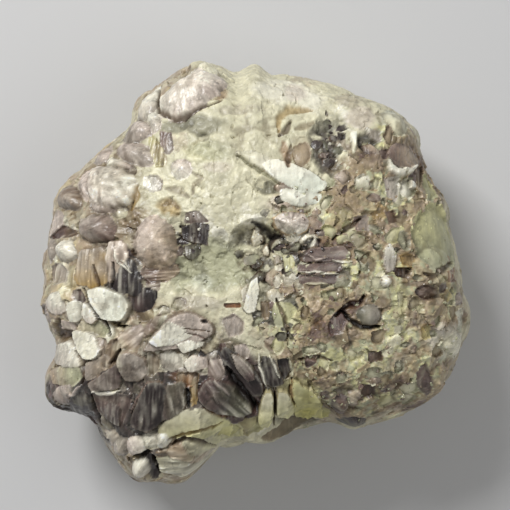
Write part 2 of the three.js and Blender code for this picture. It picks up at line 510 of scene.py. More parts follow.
@dataclass(frozen=True)
class Scales:
    """Overlapping flat plates strewn over a surface, the highest one showing at each place.

    Each cell of space holds one plate: a polygon about a jittered middle, tilted and raised by its
    own hashed numbers.
    """

    cell: float
    height: float
    tilt: float
    salt: int
    reach: float = 1.05

    def at(self, points: Array, normals: Array) -> tuple[Array, Array, Array]:
        """Height, a number from 0 to 1 for each plate, and the share of its radius, at each point.

        Args:
            points: places in metres.
            normals: unit normals there.

        Returns:
            Height in metres, the number of the plate on top, and the share of its radius.
        """
        east, north = tangents(normals)
        home = np.floor(points / self.cell).astype(np.int64)
        best = np.full(len(points), -1.0)
        mark, share = np.zeros(len(points)), np.ones(len(points))
        for step in np.ndindex(3, 3, 3):
            cells = home + (np.array(step) - 1)
            chance = [hashed(cells, self.salt + k) for k in range(7)]
            middle = cells + 0.5 + 0.9 * (np.stack(chance[:3], axis=1) - 0.5)
            away = points / self.cell - middle
            x, y = np.sum(away * east, axis=1), np.sum(away * north, axis=1)
            lift = np.sum(away * normals, axis=1)
            wide = self.reach * (0.65 + 0.5 * chance[3])
            sides = 5 + np.floor(3 * chance[4])
            radius = (polygon_radius(x, y, sides, TURN * chance[5]) + 0.5 * np.abs(lift)) / wide
            heading = TURN * chance[6]
            slope = x * np.cos(heading) + y * np.sin(heading)
            height = np.mod(chance[3] * 9, 1) + self.tilt * slope - 0.15 * radius**2
            won = (radius < 1) & (height > best)
            best = np.where(won, height, best)
            mark = np.where(won, np.mod(chance[4] * 7, 1), mark)
            share = np.where(won, radius, share)
        return self.height * best, mark, share


@dataclass(frozen=True)
class Zone:
    """An ellipse of the display face with a ragged edge, in shares of half the width and length."""

    at: Pair
    radii: Pair
    turn: float = 0.0
    edge: float = 0.15
    ragged: float = 0.16

    def reach(self, body: Body, points: Array) -> Array:
        """Distance from the middle seen from above, 1 being the ellipse's edge.

        Args:
            body: the body that the shares refer to.
            points: places in metres.

        Returns:
            One distance for each point.
        """
        x = points[:, 0] / body.half_width - self.at[0]
        y = points[:, 1] / body.half_length - self.at[1]
        cosine, sine = math.cos(math.radians(self.turn)), math.sin(math.radians(self.turn))
        along = (x * cosine + y * sine) / self.radii[0]
        across = (y * cosine - x * sine) / self.radii[1]
        return np.hypot(along, across)

    def share(self, body: Body, points: Array) -> Array:
        """1 inside, 0 outside, and a smooth ragged edge between."""
        reach = self.reach(body, points) + self.ragged * rough_noise(points, 5 * MM, 4, 610)
        inside = ramp(reach, 1 + self.edge, 1 - self.edge)
        return inside * (points[:, 2] > body.girth * 0.5)


@dataclass
class Ground:
    """What lies between the named crystals: height over the body, tint and gloss."""

    hues: tuple[Hue, ...]
    scales: tuple[tuple[Scales, float], ...]
    base: float
    gloss: float
    grain: float
    salt: int = 0
    blotch: float = 11 * MM
    mottle: float = 0.1

    def at(self, points: Array, normals: Array) -> tuple[Array, Array, Array]:
        """Height in metres, tint and gloss at each point.

        The height adds strewn plates of several sizes and fine grain, and the tint picks hues from
        smooth noise, which each plate shifts by its own amount.

        Args:
            points: places in metres.
            normals: unit normals there.

        Returns:
            Height in metres, tint and gloss.
        """
        height = np.full(len(points), self.base)
        shade = 1 + self.mottle * rough_noise(points, 3 * MM, 5, 50 + self.salt)
        shade += self.mottle * rough_noise(points, 0.8 * MM, 2, 55 + self.salt)
        pick = 0.5 + 0.42 * rough_noise(points, self.blotch, 5, 60 + self.salt)
        for scales, weight in self.scales:
            rise, mark, radius = scales.at(points, normals)
            height += rise
            pick += 0.55 * weight * (mark - 0.5)
            # Each plate shifts the tone by its own amount, and its edge is brightened as a painted highlight.
            shade += weight * (0.35 * (np.mod(mark * 5, 1) - 0.5) + 0.12 * ramp(radius, 0.8, 1.0))
        height += self.grain * rough_noise(points, 1.4 * MM, 3, 70 + self.salt)
        crack = hairs(points, 4 * MM, 75 + self.salt)
        height -= 0.12 * MM * crack
        shade -= 0.18 * crack - 0.12 * hairs(points, 2.5 * MM, 85 + self.salt)
        steps = np.clip(pick, 0, 0.999) * (len(self.hues) - 1)
        table = np.array([hue.linear for hue in self.hues])
        lower = np.floor(steps).astype(int)
        tint = mixed(table[lower], table[lower + 1], ramp(steps - lower, 0.15, 0.85))
        return height, tint * shade[:, None], np.full(len(points), self.gloss)


@dataclass(frozen=True)
class Stain:
    """A soft patch of colour, which may be speckled and sunk. Places are in millimetres."""

    hue: Hue
    at: Pair
    radii: Pair
    turn: float
    strength: float
    speckle: float
    rise: float

    def press(self, points: Array, layers: Layers, salt: int) -> None:
        """Mixes the stain into the layers.

        Args:
            points: places in metres.
            layers: what stands there, changed in place.
            salt: picks the noise.
        """
        x, y = points[:, 0] / MM - self.at[0], points[:, 1] / MM - self.at[1]
        cosine, sine = math.cos(math.radians(self.turn)), math.sin(math.radians(self.turn))
        along = (x * cosine + y * sine) / self.radii[0]
        across = (y * cosine - x * sine) / self.radii[1]
        reach = np.hypot(along, across)
        rows = np.flatnonzero((reach < 1.8) & (points[:, 2] > points[:, 2].max() * 0.35))
        if not len(rows):
            return
        here = points[rows]
        reach = reach[rows] + 0.3 * rough_noise(here, 4 * MM, 4, 610 + salt)
        share = ramp(reach, 1.25, 0.7)
        sunk = share * self.rise * MM
        if self.speckle:
            specks = rough_noise(here, 1.3 * MM, 3, 640 + salt)
            share = share * ramp(specks, -0.9 + self.speckle, -0.3 + self.speckle)
            sunk = sunk + share * 0.35 * MM * rough_noise(here, 1.0 * MM, 3, 650 + salt)
        layers.height[rows] += sunk
        layers.stain(rows, self.hue, share * self.strength)


@dataclass(frozen=True)
class Vein:
    """A crack, a rib or a bright edge along a line of places, in millimetres."""

    name: str
    line: str
    hue: Hue
    width: float
    rise: float
    strength: float

    def press(self, points: Array, layers: Layers, salt: int) -> None:
        """Sinks or raises the layers along the line, and colours them.

        The distance is to the nearest segment, wobbled by noise, and the width narrows to the ends.

        Args:
            points: places in metres.
            layers: what stands there, changed in place.
            salt: picks the noise.
        """
        line = places(self.line)
        low, high = line.min(0) - 2 * MM, line.max(0) + 2 * MM
        flat = points[:, :2]
        inside = np.all((flat > low) & (flat < high), axis=1) & (points[:, 2] > 0.012)
        rows = np.flatnonzero(inside)
        wobble = [rough_noise(points[rows], 1.6 * MM, 3, pick) for pick in (660 + salt, 670)]
        here = flat[rows] + 0.25 * MM * np.stack(wobble, axis=1)
        best = np.full(len(rows), 1.0)
        lengths = np.linalg.norm(np.diff(line, axis=0), axis=1)
        starts = np.concatenate([[0], np.cumsum(lengths)])
        place = np.zeros(len(rows))
        for start, end, before, length in zip(line[:-1], line[1:], starts, lengths):
            share = np.clip((here - start) @ (end - start) / length**2, 0, 1)
            gap = np.linalg.norm(here - start - share[:, None] * (end - start), axis=1)
            place = np.where(gap < best, (before + share * length) / starts[-1], place)
            best = np.minimum(best, gap)
        width = self.width * MM * (0.45 + 0.75 * np.sin(np.pi * np.clip(place, 0.02, 0.98)))
        share = ramp(best / width, 1.15, 0.35)
        layers.height[rows] += share * self.rise * MM
        layers.stain(rows, self.hue, share * self.strength)


@dataclass(frozen=True)
class Form:
    """How a kind of crystal grows. Heights and widths are in millimetres."""

    dome: float
    lift: float
    bend: float
    sheets: int
    sheet: float
    skirt: float
    depth: float
    # streaks: strength of the fibre streaks, which are also painted as highlight and shade in the tint.
    streaks: float
    ridge: float
    cloud: float
    # rim: strength of the painted highlight along the crystal's edge.
    rim: float
    gloss: float
    ragged: float
    curved: bool = False


class Habit(Enum):
    """The kinds of crystal."""

    BALL = Form(2.0, 0.9, 4, 6, 0.07, 0.5, 2.0, 0.26, 0.1, 0.22, 0.12, 0.8, 0.12, True)
    SLAB = Form(0.15, 1.4, 15, 5, 0.12, 0.6, 2.0, 0.2, 0.07, 0.2, 0.15, 0.85, 0.07)
    BOOK = Form(0.1, 1.4, 16, 5, 0.12, 0.6, 2.0, 0.4, 0.08, 0.24, 0.2, 0.95, 0.05)
    STRIPE = Form(0.5, 1.2, 5, 0, 0.0, 0.6, 2.0, 0.6, 0.32, 0.12, 0.0, 0.75, 0.12)
    LUMP = Form(1.0, 0.7, 4, 0, 0.0, 0.4, 1.5, 0.1, 0.05, 0.22, 0.0, 0.4, 0.16)
    BLOCK = Form(0.3, 1.4, 8, 2, 0.15, 0.5, 2.4, 0.08, 0.06, 0.16, 0.12, 0.35, 0.1)
    BLADE = Form(0.5, 1.6, 5, 2, 0.10, 0.8, 1.9, 0.12, 0.08, 0.14, 0.2, 0.45, 0.12)
    SMOOTH = Form(0.6, 0.9, 4, 0, 0.0, 1.0, 1.4, 0.06, 0.05, 0.14, 0.0, 0.5, 0.1)
    FAN = Form(1.1, 1.3, 4, 6, 0.07, 0.6, 2.0, 0.34, 0.12, 0.14, 0.15, 0.85, 0.1, True)


@dataclass(frozen=True)
class Crystal:
    """One named crystal: its corners seen from above in millimetres, its habit and its colours."""

    name: str
    corners: str
    habit: Habit
    face: Hue
    second: Hue
    sweep: float
    dome: float | None = None
    lift: float | None = None
    skirt: float | None = None
    streaks: float | None = None
    fibre: float = 90.0
    slope: Pair = (0.0, 0.0)
    side: Hue = Hue.UMBER

    def patch(self, body: Body) -> Patch:
        """Lays the corners on the body, in the plane that touches it under their middle.

        Args:
            body: the body to lay them on.

        Returns:
            The crystal laid on the stone.
        """
        corners = places(self.corners)
        at = corners / [body.half_width, body.half_length]
        spot = body.spot(tuple(at.mean(0)), (MM, MM))
        points = body.plain(body.directions_over(at))[0] - spot.point
        flat = np.stack([points @ spot.east, points @ spot.north], axis=1)
        return Patch(self, spot, flat)


@dataclass
class Patch:
    """A crystal laid on the stone: a convex polygon in the plane of a spot, in metres."""

    crystal: Crystal
    spot: Spot
    corners: Array

    def __post_init__(self) -> None:
        """Puts the corners in order round their middle, and works out the lines between them.

        Each line is kept as its outward direction over its distance from the middle, so that a
        point's product with it is 1 on the line.
        """
        self.middle = self.corners.mean(0)
        around = self.corners - self.middle
        around = around[np.argsort(np.arctan2(around[:, 1], around[:, 0]))]
        along = np.roll(around, -1, axis=0) - around
        outward = np.stack([along[:, 1], -along[:, 0]], axis=1)
        distance = np.sum(outward * around, axis=1, keepdims=True)
        self.lines = outward / np.maximum(distance, 1e-12)
        self.size = float(np.hypot(*around.T).mean())
        halfway = (around + np.roll(around, -1, axis=0)) / 2
        self.full = min(float(self.raw_share(halfway).mean()), 1.3)
        self.reach = float(np.hypot(*around.T).max()) + 2.5 * MM

    def raw_share(self, local: Array) -> Array:
        """Power mean of the products with the lines, before it is set to 1 on the edge."""
        bend = self.crystal.habit.value.bend
        return np.sum(np.clip(local @ self.lines.T, 0, None) ** bend, axis=1) ** (1 / bend)

    def press(self, points: Array, layers: Layers, salt: int, small: bool = False) -> None:
        """Raises the layers where this crystal stands higher than they do.

        A small one leaves the ground bare, so that the named crystals are laid over it.

        The share s of the way from the middle to the edge is a power mean of the products with the
        lines, frayed by noise. The height is lift + slope + dome v + steps, where v is
        (sqrt(1.2 - s s) - sqrt(0.2)) / (sqrt(1.2) - sqrt(0.2)). Past the edge it falls in steps.

        Args:
            points: places in metres.
            layers: what stands there, changed in place.
            salt: picks the noise.
            small: whether to leave the ground bare.
        """
        crystal, form = self.crystal, self.crystal.habit.value
        dome = form.dome if crystal.dome is None else crystal.dome
        lift = form.lift if crystal.lift is None else crystal.lift
        skirt = form.skirt if crystal.skirt is None else crystal.skirt
        away = points - self.spot.point
        rows = np.flatnonzero(np.sum(away * away, axis=1) < (1.5 * self.reach) ** 2)
        if not len(rows):
            return
        away, here = away[rows], points[rows]
        local = np.stack([away @ self.spot.east, away @ self.spot.north], axis=1) - self.middle
        share = self.raw_share(local) / self.full
        share += form.ragged * rough_noise(here, 2.2 * MM, 4, 900 + salt)
        kept = share < 1 + 1.1 * skirt * MM / self.size
        rows, local, share, here = rows[kept], local[kept], share[kept], here[kept]
        if not len(rows):
            return
        x, y = local.T / self.size
        inner = np.clip(share, 0, 1)
        vault = (np.sqrt(1.2 - inner**2) - math.sqrt(0.2)) / (math.sqrt(1.2) - math.sqrt(0.2))
        fibre = math.radians(crystal.fibre)
        along = x * math.cos(fibre) + y * math.sin(fibre)
        across = y * math.cos(fibre) - x * math.sin(fibre)
        if form.curved:
            along, across = np.hypot(x, y), 0.8 * np.arctan2(y, x)
        level, edge = np.zeros(len(rows)), np.zeros(len(rows))
        if form.sheets:
            frayed = 0.3 * rough_noise(here, 4 * MM, 4, 920 + salt)
            climb = 1 - inner - frayed if form.curved else 0.6 + 0.5 * across + 0.7 * frayed
            climb = climb.clip(0, 1.4) * form.sheets
            level = np.floor(climb)
            # Painted highlight on each sheet's edge, and a painted shade line just outside it; both go into
            # the tint below.
            edge = 0.6 * ramp(climb - level, 0.22, 0.0) - 0.5 * ramp(climb - level, 0.82, 1.0)
        grain = self.size / MM
        weave = np.stack([along * 0.3 * grain, across * grain, np.full(len(x), salt * 3.7)], axis=1)
        streak = 0.7 * smooth_noise(weave, 0.9, 930) + 0.6 * smooth_noise(weave * [1, 2.3, 1], 0.8, 931)
        rise = lift + crystal.slope[0] * x + crystal.slope[1] * y + dome * vault + form.sheet * level
        rise = (rise + form.ridge * streak) * MM
        rise += 0.08 * MM * rough_noise(here, 1.5 * MM, 2, 940 + salt)
        past = np.clip((share - 1) * self.size / (skirt * MM), 0, 1)
        count = max(2.0, round(skirt / 0.22))
        step = np.floor(past * count)
        rise -= form.depth * MM * (step + ramp(past * count - step, 0.3, 0.9)) / count
        ground = layers.height[rows]
        bedded = layers.bare[rows] & (share < 1)
        rise = np.where(bedded, rise + (ground - rise).clip(0) * ramp(share, 0.8, 1.0), rise)
        won = (rise > ground) | bedded
        rows, here, share, step, level, edge, streak = (
            part[won] for part in (rows, here, share, step, level, edge, streak)
        )
        # The face colour turns into the second colour along the sweep: partly the crystal's own two colours,
        # partly painted light and shade, its lit side lighter and its far side darker.
        heading = math.radians(crystal.sweep)
        turned = 0.5 + 0.55 * (x[won] * math.cos(heading) + y[won] * math.sin(heading))
        turned += 0.3 * rough_noise(here, 3.5 * MM, 3, 950 + salt)
        tint = mixed(np.repeat(crystal.face.linear[None], len(rows), axis=0), crystal.second.linear, turned)
        # Painted highlight: the tint turns pearly towards the crystal's edge.
        rim = form.rim * ramp(share, 0.86, 1.0)
        tint = mixed(tint, Hue.PEARL.linear, rim * (0.5 + 0.5 * smooth_noise(here, 4 * MM, 960 + salt)))
        cells = np.stack([level, np.full(len(rows), salt), 0 * level], axis=1).astype(np.int64)
        streaks = form.streaks if crystal.streaks is None else crystal.streaks
        # Along the fibre streaks, which also ridge the height, the tint is lightened and turned pearly as
        # painted highlight, and darkened and turned brown as painted shade.
        shade = 1 + 0.6 * streaks * streak + form.cloud * rough_noise(here, 1.8 * MM, 4, 970 + salt)
        tint = mixed(tint, Hue.PEARL.linear, 0.8 * streaks * streak.clip(0, 1))
        tint = mixed(tint, tint * Hue.BEIGE.linear, 0.9 * streaks * (-streak).clip(0, 1))
        # The edge term adds the painted highlight and shade at the sheet steps; the hashed term gives each
        # sheet its own tone, and the hairs are dark cracks.
        shade += 0.16 * (hashed(cells, 5) - 0.5) + 0.4 * edge - 0.3 * hairs(here, 3 * MM, 980 + salt)
        outside = share > 1
        bands = np.stack([step, np.full(len(rows), salt), 0 * step + 3], axis=1).astype(np.int64)
        wall = 0.5 * crystal.side.linear + 0.35 * crystal.face.linear
        banded = wall * (0.5 + 1.1 * hashed(bands, 6))[:, None]
        tint = mixed(tint, banded, ramp(share, 1 - 0.1 * MM / self.size, 1 + 0.1 * MM / self.size))
        layers.tint[rows] = tint * shade.clip(0.25, 1.8)[:, None]
        layers.gloss[rows] = np.where(outside, 0.5, form.gloss)
        layers.height[rows] = rise[won]
        layers.bare[rows] &= small


@dataclass(frozen=True)
class Litter:
    """Small crystals strewn between the named ones, in some zones. Sizes are in millimetres."""

    zones: tuple[Zone, ...]
    count: int
    size: Pair
    lift: float
    kinds: tuple[tuple[Habit, Hue, Hue], ...]
    seed: int

    def patches(self, body: Body) -> list[Patch]:
        """Lays the crystals where the zones are, with uneven corners, sizes and directions.

        Args:
            body: the body to lay them on.

        Returns:
            One patch for each crystal.
        """
        rng = np.random.default_rng(self.seed)
        at = rng.uniform(-1, 1, (self.count * 20, 2))
        directions = body.directions_over(at)
        points = body.plain(directions)[0]
        share = np.max([zone.share(body, points) for zone in self.zones], axis=0)
        flat = at * [body.half_width, body.half_length]
        radius = body.radius(np.arctan2(flat[:, 1], flat[:, 0]))
        on_face = np.hypot(flat[:, 0], flat[:, 1]) < 0.96 * radius
        kept = np.flatnonzero((rng.uniform(0, 1, len(at)) < share) & on_face)[: self.count]
        return [strewn(body, directions[index], self.kinds, self.size, self.lift, rng) for index in kept]


def strewn(
    body: Body, direction: Array, kinds: tuple[tuple[Habit, Hue, Hue], ...], sizes: Pair,
    lift: float | None, rng: np.random.Generator,
) -> Patch:
    """One crystal of a random kind and size, in the given direction from the middle of the stone.

    Args:
        body: the body to lay it on.
        direction: unit vector from the middle of the widest section.
        kinds: habits to choose from, each with its two colours.
        sizes: least and greatest size in millimetres.
        lift: height in millimetres, or None for the habit's own.
        rng: where the random numbers come from.

    Returns:
        The crystal laid on the stone.
    """
    habit, face, second = kinds[int(rng.integers(len(kinds)))]
    size = rng.uniform(*sizes) * MM
    corners = STREWN_CORNERS
    corner = np.arange(corners) * TURN / corners + rng.uniform(-0.35, 0.35, corners)
    reach = size * rng.uniform(0.75, 1.15, corners)
    flat = np.stack([reach * np.cos(corner), rng.uniform(0.5, 1) * reach * np.sin(corner)], axis=1)
    crystal = Crystal("strewn", "", habit, face, second, rng.uniform(0, 360), lift=lift,
                      dome=0.25 * size / MM, fibre=rng.uniform(0, 180))
    return Patch(crystal, body.spot_in(direction, (MM, MM), rng.uniform(0, 360)), flat)


@dataclass
class Relief:
    """Everything that stands on the body."""

    body: Body
    grounds: tuple[tuple[Ground, tuple[Zone, ...]], ...]
    crystals: tuple[Crystal, ...]
    veins: tuple[Vein, ...]
    stains: tuple[Stain, ...]
    litters: tuple[Litter, ...]
    side_count: int = 90

    def __post_init__(self) -> None:
        """Lays the crystals on the body: the strewn ones, the named ones, and the hidden ones."""
        body = self.body
        self.small = [patch for litter in self.litters for patch in litter.patches(body)]
        self.patches = [crystal.patch(body) for crystal in self.crystals]
        rng = np.random.default_rng(HIDDEN_SEED)
        kinds = (
            (Habit.BALL, Hue.DOVE, Hue.LILAC), (Habit.BOOK, Hue.VIOLET, Hue.MAUVE),
            (Habit.SLAB, Hue.CREAM, Hue.BEIGE), (Habit.LUMP, Hue.SAGE, Hue.CREAM),
            (Habit.STRIPE, Hue.BEIGE, Hue.UMBER), (Habit.BALL, Hue.BEIGE, Hue.CHALK),
        )
        for index in range(self.side_count):
            angle = index * GOLDEN_ANGLE
            climb = -1.2 * (index + 0.5) / self.side_count - 0.34
            direction = unit(np.array([math.cos(angle), math.sin(angle), climb]))
            self.patches.append(strewn(body, direction, kinds, (3, 7.5), None, rng))

    def ground(self, points: Array, normals: Array) -> Layers:
        """The grounds alone, each blended over the ones before it by its zones.

        Args:
            points: places in metres.
            normals: unit normals there.

        Returns:
            The layers with nothing on them yet.
        """
        first = self.grounds[0][0].at(points, normals)
        layers = Layers(*first)
        for ground, zones in self.grounds[1:]:
            share = np.zeros(len(points))
            for zone in zones:
                share = np.maximum(share, zone.share(self.body, points))
            rows = np.flatnonzero(share > 0.01)
            if not len(rows):
                continue
            height, tint, gloss = ground.at(points[rows], normals[rows])
            blend = share[rows]
            layers.height[rows] += (height - layers.height[rows]) * blend
            layers.tint[rows] = mixed(layers.tint[rows], tint, blend)
            layers.gloss[rows] += (gloss - layers.gloss[rows]) * blend
        return layers

    def veil(self, points: Array, layers: Layers) -> None:
        """Lays cream and brown films along wide wandering lines, over crystals and ground alike, and
        brightens scattered tiny glossy cells as painted glints.

        Args:
            points: places in metres.
            layers: what stands there, changed in place.
        """
        for film, strength, size, salt in (
            (Hue.CREAM.linear, 0.3, 8 * MM, 87), (layers.tint * Hue.DOVE.linear, 0.6, 7 * MM, 93),
        ):
            line = ramp(np.abs(rough_noise(points, size, 5, salt)), 0.25, 0.03)
            share = line * ramp(smooth_noise(points, 2 * size, salt + 3), -0.2, 0.5)
            layers.tint[:] = mixed(layers.tint, film, strength * share)
            layers.gloss *= 1 - 0.5 * share
        # Painted glints: scattered tiny cells on glossy places are brightened.
        glint = hashed(np.floor(points / (0.3 * MM)).astype(np.int64), 97) > 0.988
        glint &= layers.gloss > 0.45
        layers.tint[glint] *= 1.7

    def at(self, points: Array, normals: Array) -> Layers:
        """Height, tint and gloss over points of the plain body; steep sides stand out less.

        Args:
            points: places in metres.
            normals: unit normals there.

        Returns:
            The finished layers.
        """
        layers = self.ground(points, normals)
        for index, stain in enumerate(self.stains):
            stain.press(points, layers, index)
        for index, patch in enumerate(self.small):
            patch.press(points, layers, 300 + index, small=True)
        for index, patch in enumerate(self.patches):
            patch.press(points, layers, index)
        self.veil(points, layers)
        for index, vein in enumerate(self.veins):
            vein.press(points, layers, index)
        layers.height *= 0.5 + 0.5 * np.clip(1.6 * normals[:, 2], 0, 1)
        return layers


def blur(grid: Array, reach: int) -> Array:
    """Mean over a square of 2 reach + 1 grid steps, by differences of running sums.

    Args:
        grid: a square grid of numbers.
        reach: steps from the middle to the side of the square.

    Returns:
        A grid of the same shape.
    """
    padded = np.pad(grid, ((reach + 1, reach), (reach + 1, reach)), mode="edge")
    sums = padded.cumsum(0).cumsum(1)
    width = 2 * reach + 1
    total = (
        sums[width:, width:] - sums[:-width, width:] - sums[width:, :-width] + sums[:-width, :-width]
    )
    return total / width**2


@dataclass
class Face:
    """The display face and the sides, as four closed quarters of one fine grid.

    A square grid is squeezed to a disc by x = a sqrt(1 - b b / 2) and y = b sqrt(1 - a a / 2), and
    the disc is wrapped over the stone, each place's radius being its angle from straight up.
    """

    relief: Relief
    steps: int
    reach: float = 112.0
    dive: float = 2.4 * MM
    start: float = 102.0

    def quarters(self, names: tuple[str, str, str, str]) -> list[Shell]:
        """Builds the whole grid, and cuts it into quarters that share their borders.

        Args:
            names: the names of the quarters, which only give their number.

        Returns:
            One shell for each quarter.
        """
        body = self.relief.body
        count = 2 * self.steps + 1
        across = np.linspace(-1, 1, count)
        a, b = np.meshgrid(across, across, indexing="xy")
        x, y = a * np.sqrt(1 - b * b / 2), b * np.sqrt(1 - a * a / 2)
        share = np.hypot(x, y).ravel()
        angle, heading = math.radians(self.reach) * share, np.arctan2(y, x).ravel()
        directions = np.stack(
            [np.sin(angle) * np.cos(heading), np.sin(angle) * np.sin(heading), np.cos(angle)], axis=1
        )
        points, normals = body.surface(directions)
        layers = self.relief.at(points, normals)
        inside = ramp(np.degrees(angle), self.reach, self.start)
        height = inside * (layers.height + self.dive) - self.dive
        grid = height.reshape(count, count)
        # Painted shade and light from the relief: where the height sits below its blurred surroundings
        # (hollows, cracks, gaps between crystals) the tint is darkened and turned brown as painted shade, and
        # where it stands above them the tint is brightened as painted light. The mottle is random tone.
        proud = np.clip((grid - blur(grid, 4)).ravel() / (0.35 * MM), -2.4, 0.9)
        broad = np.clip((grid - blur(grid, 14)).ravel() / (1.2 * MM), -1.6, 0.9)
        mottle = 1 + 0.09 * rough_noise(points, 2.4 * MM, 5, 81)
        tint = mixed(layers.tint, layers.tint * Hue.TAN.linear, -0.16 * (proud + broad))
        tint = tint * (mottle * (1 + 0.13 * proud + 0.13 * broad))[:, None]
        surface = points + normals * height[:, None]
        surface[:, 2] = np.maximum(surface[:, 2], 0.2 * MM)
        rows = np.arange(count * count).reshape(count, count)
        halves = (slice(0, self.steps + 1), slice(self.steps, count))
        shells = []
        for index in range(len(names)):
            block = rows[halves[index // 2], halves[index % 2]].ravel()
            shells.append(self.quarter(surface[block], tint[block], layers.gloss[block]))
        return shells

    def quarter(self, surface: Array, tint: Array, gloss: Array) -> Shell:
        """Closes one quarter with a cone from its border to a point deep in the stone.

        Args:
            surface: the quarter's points, row by row.
            tint: their colours.
            gloss: their gloss.

        Returns:
            The closed quarter.
        """
        count = self.steps + 1
        inner = surface.mean(0) * 0.45 + np.array([0, 0, self.relief.body.girth]) * 0.55
        corner = (np.arange(self.steps)[:, None] * count + np.arange(self.steps)).ravel()
        quads = np.stack([corner, corner + 1, corner + count + 1, corner + count], axis=1)
        along = np.arange(self.steps)
        rim = np.concatenate(
            [
                along,
                along * count + self.steps,
                count * count - 1 - along,
                (count - 1 - along) * count,
            ]
        )
        cone = np.stack([np.roll(rim, -1), rim, np.full(len(rim), len(surface))], axis=1)
        return Shell(
            np.vstack([surface, inner]),
            [quads, cone],
            np.vstack([tint, tint[:1]]),
            np.append(gloss, 0.2),
        )


@dataclass
class Core:
    """The closed body of the stone under the face, with the sides, the back and the flat base."""

    relief: Relief
    around: int = 420
    rows: int = 108
    tuck: float = 2.6 * MM
    shoulder: Pair = (84.0, 96.0)

    def build(self) -> Shell:
        """Makes rings of vertices from the middle of the base to the top of the stone.

        The rows are spread evenly over the angle from straight down to straight up. Under the face
        the core is tucked in, and a point under the resting plane is moved onto it.

        Returns:
            The closed core.
        """
        climb = np.linspace(-np.pi / 2, np.pi / 2, self.rows + 2)[1:-1]
        angle = np.arange(self.around) * TURN / self.around
        up, heading = (grid.ravel() for grid in np.meshgrid(climb, angle, indexing="ij"))
        directions = np.stack(
            [np.cos(up) * np.cos(heading), np.cos(up) * np.sin(heading), np.sin(up)], axis=1
        )
        directions = np.vstack([directions, [[0, 0, 1.0]]])
        points, normals = self.relief.body.surface(directions)
        layers = self.relief.at(points, normals)
        down = np.degrees(np.arccos(np.clip(directions[:, 2], -1, 1)))
        height = layers.height - self.tuck * ramp(down, self.shoulder[1], self.shoulder[0])
        surface = points + normals * height[:, None]
        surface[:, 2] = np.maximum(surface[:, 2], 0)
        faces = rings_faces(self.rows, self.around, len(surface) - 1)
        return Shell(surface, faces, layers.tint, layers.gloss)


# ---------------------------------------------------------------------------------------------
# Strewn flakes and grains
# ---------------------------------------------------------------------------------------------


